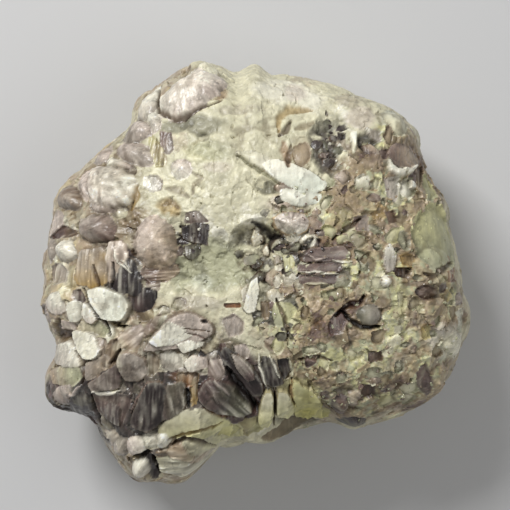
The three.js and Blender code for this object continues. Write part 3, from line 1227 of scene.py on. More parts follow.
@dataclass
class Bed:
    """Small plates strewn over a ground, each a closed polygon plate with a shallow dome."""

    name: str
    zones: tuple[Zone, ...]
    count: int
    size: Pair
    hues: tuple[tuple[Hue, float], ...]
    lean: float
    thick: float
    seed: int
    lift: float = 0.2
    corners: int = 7
    gloss: float = 0.9
    shade: float = 0.2
    # bright: the most painted highlight that a plate's upper ring gets.
    bright: float = 0.25

    def spread_out(self, relief: Relief, rng: np.random.Generator) -> tuple[Array, Array]:
        """Points on the relief and their normals, thinned out by the zones' shares.

        Args:
            relief: the finished relief.
            rng: where the random numbers come from.

        Returns:
            The points and the unit normals.
        """
        body = relief.body
        at = rng.uniform(-1, 1, (self.count * 12, 2))
        directions = body.directions_over(at)
        points, normals = body.surface(directions)
        inside = np.zeros(len(points))
        for zone in self.zones:
            inside = np.maximum(inside, zone.share(body, points))
        flat = at * [body.half_width, body.half_length]
        radius = body.radius(np.arctan2(flat[:, 1], flat[:, 0]))
        on_face = np.hypot(flat[:, 0], flat[:, 1]) < 0.985 * radius
        kept = np.flatnonzero((rng.uniform(0, 1, len(points)) < inside) & on_face)[: self.count]
        points, normals = points[kept], normals[kept]
        height = relief.at(points, normals).height
        return points + normals * (height + self.lift * MM)[:, None], normals

    def build(self, relief: Relief) -> bpy.types.Object:
        """Makes the plates.

        Each plate has a lower ring, an upper ring, an inner ring raised a little, and a tip. Its
        outline is a polygon with uneven corners, and it leans by its own random amount.

        Args:
            relief: the finished relief.

        Returns:
            The linked object.
        """
        rng = np.random.default_rng(self.seed)
        points, normals = self.spread_out(relief, rng)
        count, corners = len(points), self.corners
        east, north = tangents(normals)
        heading = rng.uniform(0, TURN, count)
        tip = np.tan(np.radians(self.lean) * np.abs(rng.normal(0, 0.6, count)).clip(0, 1.6))
        lean = east * (np.cos(heading) * tip)[:, None] + north * (np.sin(heading) * tip)[:, None]
        up = unit(normals + lean)
        turn = rng.uniform(0, TURN, count)
        along = east * np.cos(turn)[:, None] + north * np.sin(turn)[:, None]
        along = unit(along - up * np.sum(along * up, axis=1, keepdims=True))
        across = np.cross(up, along)
        size = rng.uniform(0, 1, count) ** 2 * (self.size[1] - self.size[0]) + self.size[0]
        aspect = rng.uniform(0.55, 1.0, count)
        angles = np.arange(corners) * TURN / corners
        angles = angles + rng.uniform(-0.3, 0.3, (count, corners)) * TURN / corners
        reach = rng.uniform(0.75, 1.1, (count, corners)) * size[:, None] * MM
        x, y = reach * np.cos(angles), reach * np.sin(angles) * aspect[:, None]
        thick = self.thick * MM * (0.5 + size / self.size[1])
        spread = np.array([1.02, 1.0, 0.55])[None, :, None]
        rise = np.stack([-thick, 0 * thick, 0.06 * MM * size], axis=1)[:, :, None]
        rise = rise + 0.05 * MM * rng.normal(0, 1, (count, 3, corners))
        local = np.stack([spread * x[:, None], spread * y[:, None], rise], axis=-1)
        crest = np.zeros((count, 1, 3))
        crest[:, 0, 2] = 0.08 * MM * size
        local = np.concatenate([local.reshape(count, 3 * corners, 3), crest], axis=1)
        axes = np.stack([along, across, up], axis=1)
        world = points[:, None] + np.einsum("nvk,nkd->nvd", local, axes)
        world[..., 2] = np.maximum(world[..., 2], 0.1 * MM)
        each = 3 * corners + 1
        faces = [
            (rows[None] + (np.arange(count) * each)[:, None, None]).reshape(-1, rows.shape[1])
            for rows in rings_faces(3, corners, each - 1)
        ]
        tint = self.colours(points, count, rng)
        shade = np.ones((count, each))
        # Painted shade on each plate's lower ring, and a painted highlight of random strength on its upper
        # ring.
        shade[:, :corners] -= 0.25
        shade[:, corners : 2 * corners] += self.bright * rng.uniform(0, 1, (count, 1))
        shade *= 1 + 0.1 * rng.normal(0, 1, (count, each))
        shell = Shell(
            world.reshape(-1, 3),
            faces,
            (tint[:, None] * shade[..., None]).reshape(-1, 3),
            np.full(count * each, self.gloss),
        )
        return shell.make(self.name, FLAKE_CREASE)

    def colours(self, points: Array, count: int, rng: np.random.Generator) -> Array:
        """One colour for each plate, picked by weight; neighbours lean to the same hue.

        Args:
            points: middles of the plates in metres.
            count: number of plates.
            rng: where the random numbers come from.

        Returns:
            One colour for each plate.
        """
        table = np.array([hue.linear for hue, _ in self.hues])
        weights = np.cumsum([weight for _, weight in self.hues])
        drift = 0.22 * rough_noise(points, 9 * MM, 3, self.seed)
        pick = np.mod(rng.uniform(0, 1, count) * 0.55 + drift + 0.5, 1) * weights[-1]
        index = np.searchsorted(weights, pick).clip(0, len(self.hues) - 1)
        return table[index] * (1 + self.shade * rng.normal(0, 1, (count, 1))).clip(0.4, 1.8)


# ---------------------------------------------------------------------------------------------
# Finishes
# ---------------------------------------------------------------------------------------------


@dataclass(frozen=True)
class Finish:
    """A mineral surface: its tint with fine cloudiness, its gloss, and its finest grain."""

    name: str
    dull: float
    shiny: float
    coat: float
    depth: float
    cloud: float
    grain_size: float
    grain: float
    ior: float = 1.55

    def make(self) -> bpy.types.Material:
        """Builds the material's nodes.

        Returns:
            The new material.
        """
        material = bpy.data.materials.new(self.name)
        material.use_nodes = True
        nodes, links = material.node_tree.nodes, material.node_tree.links
        shader = nodes["Principled BSDF"]
        shader.inputs["IOR"].default_value = self.ior
        shader.inputs["Coat Weight"].default_value = self.coat
        shader.inputs["Coat Roughness"].default_value = 0.22
        shader.inputs["Subsurface Weight"].default_value = self.depth
        shader.inputs["Subsurface Radius"].default_value = (1.0, 0.9, 0.7)
        shader.inputs["Subsurface Scale"].default_value = 0.8 * MM
        place = nodes.new("ShaderNodeTexCoord")
        tint = nodes.new("ShaderNodeAttribute")
        tint.attribute_name = "tint"
        gloss = nodes.new("ShaderNodeAttribute")
        gloss.attribute_name = "gloss"
        cloud = nodes.new("ShaderNodeTexNoise")
        cloud.inputs["Scale"].default_value = 900
        cloud.inputs["Detail"].default_value = 5
        cloud.inputs["Roughness"].default_value = 0.65
        links.new(place.outputs["Object"], cloud.inputs["Vector"])
        spread = nodes.new("ShaderNodeMapRange")
        spread.inputs["From Min"].default_value = 0.3
        spread.inputs["From Max"].default_value = 0.7
        spread.inputs["To Min"].default_value = 1 - self.cloud
        spread.inputs["To Max"].default_value = 1 + self.cloud
        links.new(cloud.outputs["Fac"], spread.inputs["Value"])
        scale = nodes.new("ShaderNodeVectorMath")
        scale.operation = "SCALE"
        links.new(tint.outputs["Color"], scale.inputs[0])
        links.new(spread.outputs["Result"], scale.inputs["Scale"])
        links.new(scale.outputs["Vector"], shader.inputs["Base Color"])
        rough = nodes.new("ShaderNodeMapRange")
        rough.inputs["To Min"].default_value = self.dull
        rough.inputs["To Max"].default_value = self.shiny
        links.new(gloss.outputs["Fac"], rough.inputs["Value"])
        links.new(rough.outputs["Result"], shader.inputs["Roughness"])
        grain = nodes.new("ShaderNodeTexNoise")
        grain.inputs["Scale"].default_value = 1 / (self.grain_size * MM)
        grain.inputs["Detail"].default_value = 3
        links.new(place.outputs["Object"], grain.inputs["Vector"])
        bump = nodes.new("ShaderNodeBump")
        bump.inputs["Strength"].default_value = 1.0
        bump.inputs["Distance"].default_value = self.grain * MM
        links.new(grain.outputs["Fac"], bump.inputs["Height"])
        links.new(bump.outputs["Normal"], shader.inputs["Normal"])
        return material


STONE = Finish("mica_stone", 0.7, 0.26, 0.18, 0.06, 0.1, 0.35, 0.08)
FLAKE = Finish("mica_flake", 0.5, 0.2, 0.25, 0.04, 0.1, 0.5, 0.03, ior=1.58)


# ---------------------------------------------------------------------------------------------
# The named crystals, with their corners in millimetres from the middle of the stone
# ---------------------------------------------------------------------------------------------

# The balls, slabs and upright books of the left side.
LEFT_CRYSTALS = (
    Crystal("corner_lobe", "-25.5,35.5 -24.5,37.5 -20.5,41 -20.5,34.5 -21.5,32.5 -23,31 -25,32",
            Habit.BALL, Hue.DOVE, Hue.CHALK, 60),
    Crystal("corner_ball",
            "-20.5,34 -20,39.5 -18.5,42.5 -11.5,42.5 -8.5,43 -6.5,40.5 -10.5,35 -13.5,33 -17.5,32.5",
            Habit.BALL, Hue.LILAC, Hue.CHALK, 150, dome=2.6),
    Crystal("corner_cap", "-13,40 -12,42.5 -10,43.5 -7.5,42.5 -8.5,39 -11,38.5",
            Habit.BALL, Hue.CREAM, Hue.CHALK, 195, dome=0.8, lift=2.0),
    Crystal("corner_drop", "-23.5,33.5 -20.5,34 -19.5,32 -20,29.5 -22,28.5 -22.5,30.5",
            Habit.BALL, Hue.LILAC, Hue.CHALK, 120, dome=1.2),
    Crystal("corner_facet", "-20,27 -20,29.5 -17.5,29.5 -17,25.5 -18,24.5 -19.5,25",
            Habit.SLAB, Hue.DOVE, Hue.MAUVE, 90, lift=0.8),
    Crystal("upper_lobe", "-27.5,27 -25.5,32 -22.5,31.5 -21,30 -21.5,28 -23.5,26.5 -25.5,25.5",
            Habit.BALL, Hue.LILAC, Hue.DOVE, 195, dome=1.8),
    Crystal("cream_lobe", "-29,25 -27,26.5 -24,27 -22,26 -20,24 -22,21.5 -25,22 -27.5,22.5",
            Habit.BALL, Hue.DOVE, Hue.LILAC, 120, dome=1.6),
    Crystal("yellow_fold", "-22.5,25.5 -22,29 -20.5,28 -18,23 -20,21.5 -22,22.5",
            Habit.STRIPE, Hue.BUTTER, Hue.TAN, 0, fibre=80),
    Crystal("lilac_tip", "-35.5,24.5 -34,26 -32.5,27 -29,25.5 -29.5,23.5 -31.5,22 -34,22.5",
            Habit.BALL, Hue.LILAC, Hue.DOVE, 180, dome=1.2),
    Crystal("pale_shoulder", "-31,21.5 -30,23.5 -27,23 -25,22 -26,21 -29,21",
            Habit.BALL, Hue.LILAC, Hue.CHALK, 180, dome=1.4),
    Crystal("pearly_ball",
            "-35.5,19.5 -34.5,21.5 -30,22 -26.5,21.5 -24.5,19 -24.5,16 -26,14 -29.5,13 -33.5,13.5 -35.5,16.5",
            Habit.BALL, Hue.LILAC, Hue.CHALK, 15, dome=3.4, lift=1.3),
    Crystal("pearly_foot", "-35,13.5 -34.5,15 -30,14 -28.5,13 -31,12 -34,12.5",
            Habit.BALL, Hue.DOVE, Hue.LILAC, 270, dome=1.2),
    Crystal("pale_flake", "-23.5,18 -23.5,20 -20.5,20.5 -19,19 -19.5,17 -22,16.5",
            Habit.SLAB, Hue.DOVE, Hue.CHALK, 195, lift=0.6),
    Crystal("pale_dome", "-18,21 -17.5,23 -15,24 -13,22 -14,19.5 -16.5,19",
            Habit.BALL, Hue.LILAC, Hue.CHALK, 255, dome=1.0),
    Crystal("left_lobe", "-42,16.5 -41,18 -38.5,18.5 -37,17 -36,14.5 -36.5,13 -39.5,12.5 -41.5,13.5",
            Habit.BALL, Hue.DOVE, Hue.UMBER, 0, dome=2.4),
    Crystal("left_shoulder", "-38,18.5 -36,21 -34.5,22 -34.5,15.5 -35.5,14.5",
            Habit.BALL, Hue.LILAC, Hue.LILAC, 105, dome=1.2),
    Crystal("white_rim", "-45,7.5 -44,11.5 -41.5,13 -40.5,12.5 -40.5,10 -43,8",
            Habit.SLAB, Hue.LILAC, Hue.LILAC, 0, lift=1.4),
    Crystal("maroon_sheet", "-44.5,9 -41,10 -38,9 -37.5,7.5 -40.5,7 -43.5,7",
            Habit.STRIPE, Hue.MAROON, Hue.UMBER, 0, fibre=5, lift=0.9),
    Crystal("cream_ball", "-42.5,5 -41.5,6.5 -39.5,7 -38,6 -37,3.5 -38,2 -41.5,2",
            Habit.BALL, Hue.DOVE, Hue.CHALK, 90, dome=2.2),
    Crystal("rim_pearl", "-45.5,4.5 -45,7 -45,8.5 -42.5,5.5 -43,2.5 -45.5,2",
            Habit.BALL, Hue.DOVE, Hue.DOVE, 0, dome=1.2),
    Crystal("rim_stripes", "-44,-1 -43.5,1.5 -41,2 -39.5,0.5 -39.5,-2.5 -42,-3",
            Habit.STRIPE, Hue.BEIGE, Hue.DOVE, 90, fibre=85, lift=0.8),
    Crystal("violet_ball", "-37,10 -35,12 -32.5,12.5 -29.5,11 -28.5,9 -29.5,7 -31.5,6 -35,6 -36.5,7",
            Habit.BALL, Hue.DOVE, Hue.MAUVE, 315, dome=3.0, lift=1.2, side=Hue.MAROON),
    Crystal("oval_ball",
            "-25.5,6.5 -24.5,10 -22,12 -19.5,12 -17.5,10.5 -16.5,7 -16,4 -17.5,1.5 -20,0.5 -23.5,1 -25,3",
            Habit.BALL, Hue.LILAC, Hue.BEIGE, 315, dome=3.6, lift=1.1, streaks=0.28),
    Crystal("oval_tail", "-24,1 -16.5,2 -16,0 -18.5,-2.5 -21.5,-2.5 -23.5,-1.5",
            Habit.STRIPE, Hue.MAUVE, Hue.BEIGE, 0, fibre=5),
    Crystal("pale_book", "-37.5,3 -36,4.5 -31,5 -30,2 -30.5,-2.5 -33,-3.5 -36,-3.5 -38,-2",
            Habit.STRIPE, Hue.DOVE, Hue.OCHRE, 270, fibre=90, lift=1.8),
    Crystal("middle_book", "-31,5.5 -28.5,7 -26.5,5.5 -26,3.5 -30,-2.5 -31,-1",
            Habit.STRIPE, Hue.LILAC, Hue.BEIGE, 300, fibre=84, lift=2.0),
    Crystal("dark_book", "-30,2 -28,3 -25.5,3 -24.5,1 -23.5,-3 -23.5,-5 -30,-4.5",
            Habit.STRIPE, Hue.DUSK, Hue.INK, 0, fibre=86, lift=1.7),
    Crystal("dark_book_foot", "-26.5,-3.5 -22.5,-3 -20,-4 -21,-7 -22.5,-8.5 -25,-8.5 -26.5,-6.5",
            Habit.STRIPE, Hue.INK, Hue.VIOLET, 180, fibre=88, lift=1.2),
    Crystal("dark_wing", "-23.5,0 -20,-0.5 -20,-4 -22.5,-4",
            Habit.STRIPE, Hue.MAUVE, Hue.UMBER, 0, fibre=10, lift=0.9),
    Crystal("book_side", "-39.5,1 -37.5,2 -36.5,-2.5 -37.5,-4 -39.5,-3.5",
            Habit.STRIPE, Hue.OCHRE, Hue.CREAM, 150, fibre=88, lift=0.9),
    Crystal("mint_slab", "-35,-4 -32.5,-3 -27,-5 -26,-7.5 -27.5,-10 -30.5,-10 -33,-9.5",
            Habit.SLAB, Hue.MINT, Hue.CHALK, 150, lift=2.4, slope=(0.5, -0.3), side=Hue.UMBER),
    Crystal("cream_slab", "-43.5,-6.5 -42.5,-4.5 -40.5,-4 -39,-8 -40.5,-9 -42.5,-8.5",
            Habit.SLAB, Hue.LILAC, Hue.CHALK, 90, lift=1.3),
    Crystal("mint_shard", "-39,-7 -38,-6 -36.5,-6.5 -36,-9 -37,-10.5 -38.5,-10.5",
            Habit.SLAB, Hue.PEARL, Hue.PEARL, 90, lift=1.5, slope=(-0.5, 0)),
    Crystal("pink_shard", "-36.5,-9 -36,-6.5 -34.5,-7 -33,-10 -34,-11 -35.5,-10.5",
            Habit.SLAB, Hue.LILAC, Hue.CHALK, 90, lift=1.6, slope=(0.4, 0)),
    Crystal("violet_chip", "-38.5,-4 -36.5,-3.5 -35.5,-6 -36.5,-7 -38,-6",
            Habit.BOOK, Hue.MAUVE, Hue.DUSK, 270, lift=0.9),
    Crystal("rim_lilac", "-46,-8 -43.5,-6 -42.5,-9 -44,-14 -44.5,-13",
            Habit.STRIPE, Hue.LILAC, Hue.MAUVE, 90, fibre=100, lift=0.8),
    Crystal("rim_white", "-40.5,-10 -38.5,-10.5 -37.5,-13 -39.5,-14 -40.5,-12",
            Habit.SLAB, Hue.LILAC, Hue.LILAC, 0, lift=1.0),
    Crystal("cream_sheet", "-37.5,-11 -33,-10 -30.5,-12.5 -31.5,-14 -37,-13",
            Habit.SLAB, Hue.PUTTY, Hue.SAGE, 0, lift=0.8),
    Crystal("mint_flake", "-38.5,-12.5 -35.5,-12.5 -33.5,-13.5 -32.5,-16.5 -33.5,-18 -35.5,-18.5 -38.5,-14.5",
            Habit.SLAB, Hue.PEARL, Hue.CHALK, 120, lift=1.9, slope=(0.4, -0.3)),
    Crystal("tan_sheet", "-33.5,-13.5 -31,-14 -31,-17 -33,-18",
            Habit.STRIPE, Hue.LILAC, Hue.TAN, 0, fibre=100, lift=0.9),
    Crystal("pink_slab", "-44,-19.5 -42.5,-16 -39.5,-14.5 -38,-15.5 -37,-20 -39,-20.5 -41.5,-20",
            Habit.SLAB, Hue.DOVE, Hue.CHALK, 90, lift=1.5),
    Crystal("beige_slab", "-45,-22 -41.5,-20 -37.5,-20 -36.5,-22.5 -38,-24.5 -43,-24",
            Habit.SLAB, Hue.BEIGE, Hue.SAGE, 60, lift=1.0),
    Crystal("brown_fold", "-32.5,-21 -31.5,-14.5 -28.5,-14 -28,-17 -29,-19.5",
            Habit.STRIPE, Hue.UMBER, Hue.BEIGE, 195, fibre=82, lift=0.8),
    Crystal("cream_fold", "-36.5,-22.5 -36,-19.5 -31.5,-17.5 -30.5,-19 -33,-22 -35,-23",
            Habit.SLAB, Hue.DOVE, Hue.BEIGE, 330, lift=1.3, slope=(-0.3, 0.2)),
    Crystal("pink_flake", "-29,-14 -26.5,-11.5 -24,-10.5 -23,-12.5 -24,-15 -26.5,-17 -28,-17",
            Habit.STRIPE, Hue.LILAC, Hue.BEIGE, 240, fibre=40, lift=1.3),
    Crystal("streaked_slab", "-29,-19 -28,-17 -25.5,-17 -23,-18.5 -22.5,-21 -24.5,-23 -27,-23 -28,-21.5",
            Habit.SLAB, Hue.DOVE, Hue.DOVE, 300, lift=2.0, slope=(-0.2, 0.4)),
    Crystal("olive_strip", "-23,-16.5 -20,-17 -20,-20.5 -21.5,-22.5 -23,-21.5",
            Habit.STRIPE, Hue.SMOKE, Hue.BEIGE, 0, fibre=90, lift=0.8),
    Crystal("big_slab", "-23.5,-16.5 -18,-9.5 -14.5,-8.5 -12,-9 -9,-11 -9,-13 -14.5,-16",
            Habit.SLAB, Hue.LILAC, Hue.DOVE, 300, lift=2.5, slope=(0.2, 0.4), side=Hue.UMBER),
    Crystal("big_slab_top", "-22,-14.5 -18,-10 -12.5,-12.5 -13.5,-13.5 -16.5,-15 -20,-15.5",
            Habit.SLAB, Hue.CHALK, Hue.PEARL, 0, lift=2.8, slope=(0, 0.3)),
    Crystal("white_flake", "-16,-15 -13.5,-14 -10.5,-14.5 -11,-15.5 -15,-17",
            Habit.SLAB, Hue.CHALK, Hue.PEARL, 0, lift=2.2),
    Crystal("blue_slab", "-20,-17 -17,-16.5 -15,-18 -15,-20 -17.5,-21 -19.5,-20",
            Habit.SLAB, Hue.DOVE, Hue.PEARL, 60, lift=1.2),
    Crystal("rose_slab", "-15,-19 -13,-17.5 -10,-18 -10,-20 -12.5,-21 -14,-21",
            Habit.SLAB, Hue.LILAC, Hue.CHALK, 195, lift=1.4),
    Crystal("rust_sheet", "-16.5,-21 -11.5,-21 -12,-23.5 -14.5,-24.5 -16.5,-23.5",
            Habit.STRIPE, Hue.RUST, Hue.TAN, 90, fibre=80, lift=0.6),
    Crystal("ochre_band", "-14,-22.5 -12,-22 -12,-28 -13.5,-28.5",
            Habit.STRIPE, Hue.OCHRE, Hue.TAN, 90, fibre=90, lift=0.9),
)

# The dark violet books at the lower left.
DARK_BOOKS = (
    Crystal("left_dark_book", "-39.5,-27 -37,-24.5 -34.5,-26.5 -34.5,-29.5 -38,-31.5 -40,-30.5",
            Habit.BOOK, Hue.DUSK, Hue.INK, 270, lift=1.5, slope=(0.2, -0.4)),
    Crystal("left_low_book", "-42,-29.5 -34.5,-30 -34.5,-31.5 -38,-31.5 -40.5,-30",
            Habit.BOOK, Hue.INK, Hue.SMOKE, 180, lift=0.8),
    Crystal("left_mauve", "-43,-26 -42,-24.5 -39.5,-24 -38.5,-26 -40,-28.5 -42.5,-28.5",
            Habit.BOOK, Hue.MAUVE, Hue.LILAC, 120, lift=1.0),
    Crystal("grey_triangle", "-35,-23.5 -29.5,-19.5 -28,-21 -28.5,-24.5 -31.5,-25 -34,-25",
            Habit.BOOK, Hue.VIOLET, Hue.DOVE, 255, lift=1.6, slope=(0, -0.3)),
    Crystal("middle_facet", "-34.5,-25.5 -28,-25.5 -25.5,-26 -28,-33 -30,-32.5 -32.5,-30",
            Habit.BOOK, Hue.MAUVE, Hue.VIOLET, 285, lift=1.2, slope=(-0.3, -0.3)),
    Crystal("inner_facet", "-33,-26.5 -31,-27 -28.5,-28.5 -28.5,-32.5 -30.5,-31.5 -32.5,-29",
            Habit.BOOK, Hue.VIOLET, Hue.DUSK, 300, lift=1.6, slope=(0.3, -0.3)),
    Crystal("corner_dark_book",
            "-25.5,-29.5 -22.5,-23 -20,-23 -18.5,-24.5 -18,-29 -20,-32 -22.5,-33.5 -25.5,-32",
            Habit.BOOK, Hue.DUSK, Hue.INK, 0, lift=2.2, slope=(-0.4, -0.3)),
    Crystal("streaky_book", "-19.5,-31 -18.5,-23.5 -15,-23 -14,-26.5 -15,-29 -18,-31",
            Habit.BOOK, Hue.VIOLET, Hue.SMOKE, 0, lift=1.6, fibre=100, streaks=0.6),
    Crystal("wide_book", "-12,-26 -11.5,-24 -9.5,-22.5 -5.5,-23 -1,-27 -0.5,-29 -3,-30 -8,-29.5 -11,-28",
            Habit.BOOK, Hue.VIOLET, Hue.SMOKE, 315, lift=2.0, slope=(0.2, 0.3), fibre=130, streaks=0.6,
            side=Hue.MAROON),
    Crystal("veiled_book", "-10,-18.5 -7.5,-17.5 -6,-20.5 -7,-23 -10,-23",
            Habit.STRIPE, Hue.MAUVE, Hue.LILAC, 45, fibre=120, lift=1.0),
    Crystal("slanted_book", "-7.5,-18 -6.5,-15.5 -5,-16 -1,-19 1.5,-22.5 1.5,-25.5 -0.5,-26 -5.5,-21",
            Habit.BOOK, Hue.INK, Hue.DUSK, 225, lift=1.4, slope=(0.7, 0.3), fibre=125),
    Crystal("slanted_sheet", "-5,-17 -3,-17.5 -0.5,-20 0,-22 -1.5,-22.5 -3.5,-20.5",
            Habit.BOOK, Hue.VIOLET, Hue.DOVE, 135, lift=2.0, slope=(0.5, 0.2), fibre=125, streaks=0.6),
    Crystal("deep_book", "-4,-27 -2.5,-24.5 0,-26 1.5,-28 0,-30 -2.5,-30",
            Habit.BOOK, Hue.INK, Hue.MAROON, 270, lift=0.9),
    Crystal("rib_left", "1,-20.5 1.5,-17.5 4,-18 6,-23 3.5,-24 2,-23",
            Habit.BOOK, Hue.INK, Hue.DUSK, 0, lift=1.3, slope=(0.8, 0), fibre=100),
    Crystal("rib_right", "4.5,-18 7,-17.5 7.5,-20 6,-22.5 5,-20.5",
            Habit.BOOK, Hue.INK, Hue.DUSK, 0, lift=1.1, slope=(0.8, 0), fibre=100),
    Crystal("black_chip", "-7.5,-15 -6,-15 -6,-16.5 -7.5,-17",
            Habit.BOOK, Hue.INK, Hue.MAROON, 0, lift=1.0),
    Crystal("pale_veil", "-4.5,-15.5 -2,-15 -1,-16.5 -1.5,-18 -3.5,-18",
            Habit.SLAB, Hue.DOVE, Hue.LILAC, 60, lift=0.9),
)

# The layered toe.
TOE_CRYSTALS = (
    Crystal("toe_fold", "-32.5,-34 -30,-33.5 -28.5,-34.5 -30,-37.5 -31.5,-39",
            Habit.STRIPE, Hue.LILAC, Hue.BEIGE, 0, fibre=60, lift=1.0),
    Crystal("toe_slab", "-31.5,-39 -30.5,-36 -27,-35 -26,-37.5 -27.5,-39.5 -30.5,-40.5",
            Habit.BALL, Hue.DOVE, Hue.DOVE, 270, dome=1.4),
    Crystal("toe_left", "-28,-36 -24.5,-34.5 -22.5,-36 -23,-38.5 -25.5,-39.5 -27.5,-38",
            Habit.BALL, Hue.CHALK, Hue.LILAC, 195, dome=1.0, lift=1.2),
    Crystal("toe_middle", "-24,-34.5 -20.5,-34 -20,-37 -23,-38 -24,-36.5",
            Habit.BALL, Hue.CREAM, Hue.CHALK, 90, dome=0.8, lift=1.1),
    Crystal("toe_right", "-21,-34 -18.5,-33 -17,-35.5 -19.5,-37.5 -21,-36.5",
            Habit.BALL, Hue.CHALK, Hue.PEARL, 90, dome=1.0, lift=1.3),
    Crystal("toe_ball", "-26.5,-41 -25,-39.5 -23,-39.5 -22,-41.5 -22.5,-43 -23.5,-43.5 -25.5,-43",
            Habit.BALL, Hue.PEARL, Hue.DOVE, 300, dome=2.4, lift=1.0),
    Crystal("toe_dark", "-25,-39 -22.5,-38.5 -21,-40 -20.5,-42.5 -20.5,-44 -22,-43.5",
            Habit.BOOK, Hue.INK, Hue.DUSK, 0, lift=0.4),
    Crystal("toe_fan", "-20.5,-40.5 -16.5,-39.5 -9,-39 -11,-42 -14,-43 -19,-44 -20.5,-43",
            Habit.STRIPE, Hue.CREAM, Hue.PEARL, 270, fibre=8, lift=1.6),
    Crystal("toe_fan_top", "-18,-37.5 -15.5,-36.5 -8,-37 -9.5,-39.5 -13,-39.5 -17,-39.5",
            Habit.STRIPE, Hue.BEIGE, Hue.CREAM, 330, fibre=5, lift=2.0),
    Crystal("toe_brown", "-21.5,-38 -15,-36.5 -16,-38.5 -20.5,-39.5",
            Habit.STRIPE, Hue.UMBER, Hue.BEIGE, 180, fibre=15, lift=1.6),
)

# The yellow feldspar at the bottom.
YELLOW_BLOCKS = (
    Crystal("yellow_top",
            "-20.5,-33 -18.5,-31 -14,-28.5 -10.5,-28.5 -4.5,-31.5 -7,-33.5 -16.5,-35.5 -19.5,-35",
            Habit.BLOCK, Hue.CREAM, Hue.BUTTER, 300, lift=1.6),
    Crystal("yellow_low", "-18,-36 -14.5,-34.5 -4.5,-31.5 -2,-32 -2,-34.5 -8,-37",
            Habit.BLOCK, Hue.CREAM, Hue.BUTTER, 0, lift=1.1),
    Crystal("yellow_spot", "-7.5,-33 -5,-32 -3,-32.5 -5,-35 -7.5,-34.5",
            Habit.BLOCK, Hue.SULPHUR, Hue.BUTTER, 90, lift=1.4),
    Crystal("tan_wedge", "-4,-31.5 1.5,-29 2,-33.5 -2,-34 -4,-33",
            Habit.BLOCK, Hue.TAN, Hue.BUTTER, 0, lift=0.9),
    Crystal("left_block", "0.5,-29.5 2,-24.5 3.5,-24.5 4,-29.5 3,-32.5 1,-31.5",
            Habit.BLOCK, Hue.BUTTER, Hue.CREAM, 90, lift=2.6),
    Crystal("middle_block", "4.5,-24 7,-25 8.5,-30.5 7,-31.5 4.5,-30",
            Habit.BLOCK, Hue.BUTTER, Hue.CREAM, 105, lift=2.8),
    Crystal("right_block", "7,-25.5 7.5,-21.5 13,-25.5 14.5,-29.5 12,-31 9,-31.5",
            Habit.BLOCK, Hue.BUTTER, Hue.SULPHUR, 300, lift=2.6),
    Crystal("end_block", "12.5,-30.5 16,-29.5 15.5,-30.5 12,-31",
            Habit.BLOCK, Hue.BUTTER, Hue.SULPHUR, 0, lift=1.8),
    Crystal("dark_foot", "0.5,-33.5 7.5,-32.5 12,-30.5 13,-31 9.5,-33.5 5,-34.5 1.5,-34.5",
            Habit.BLOCK, Hue.MOSS, Hue.TAN, 195, lift=0.6),
)

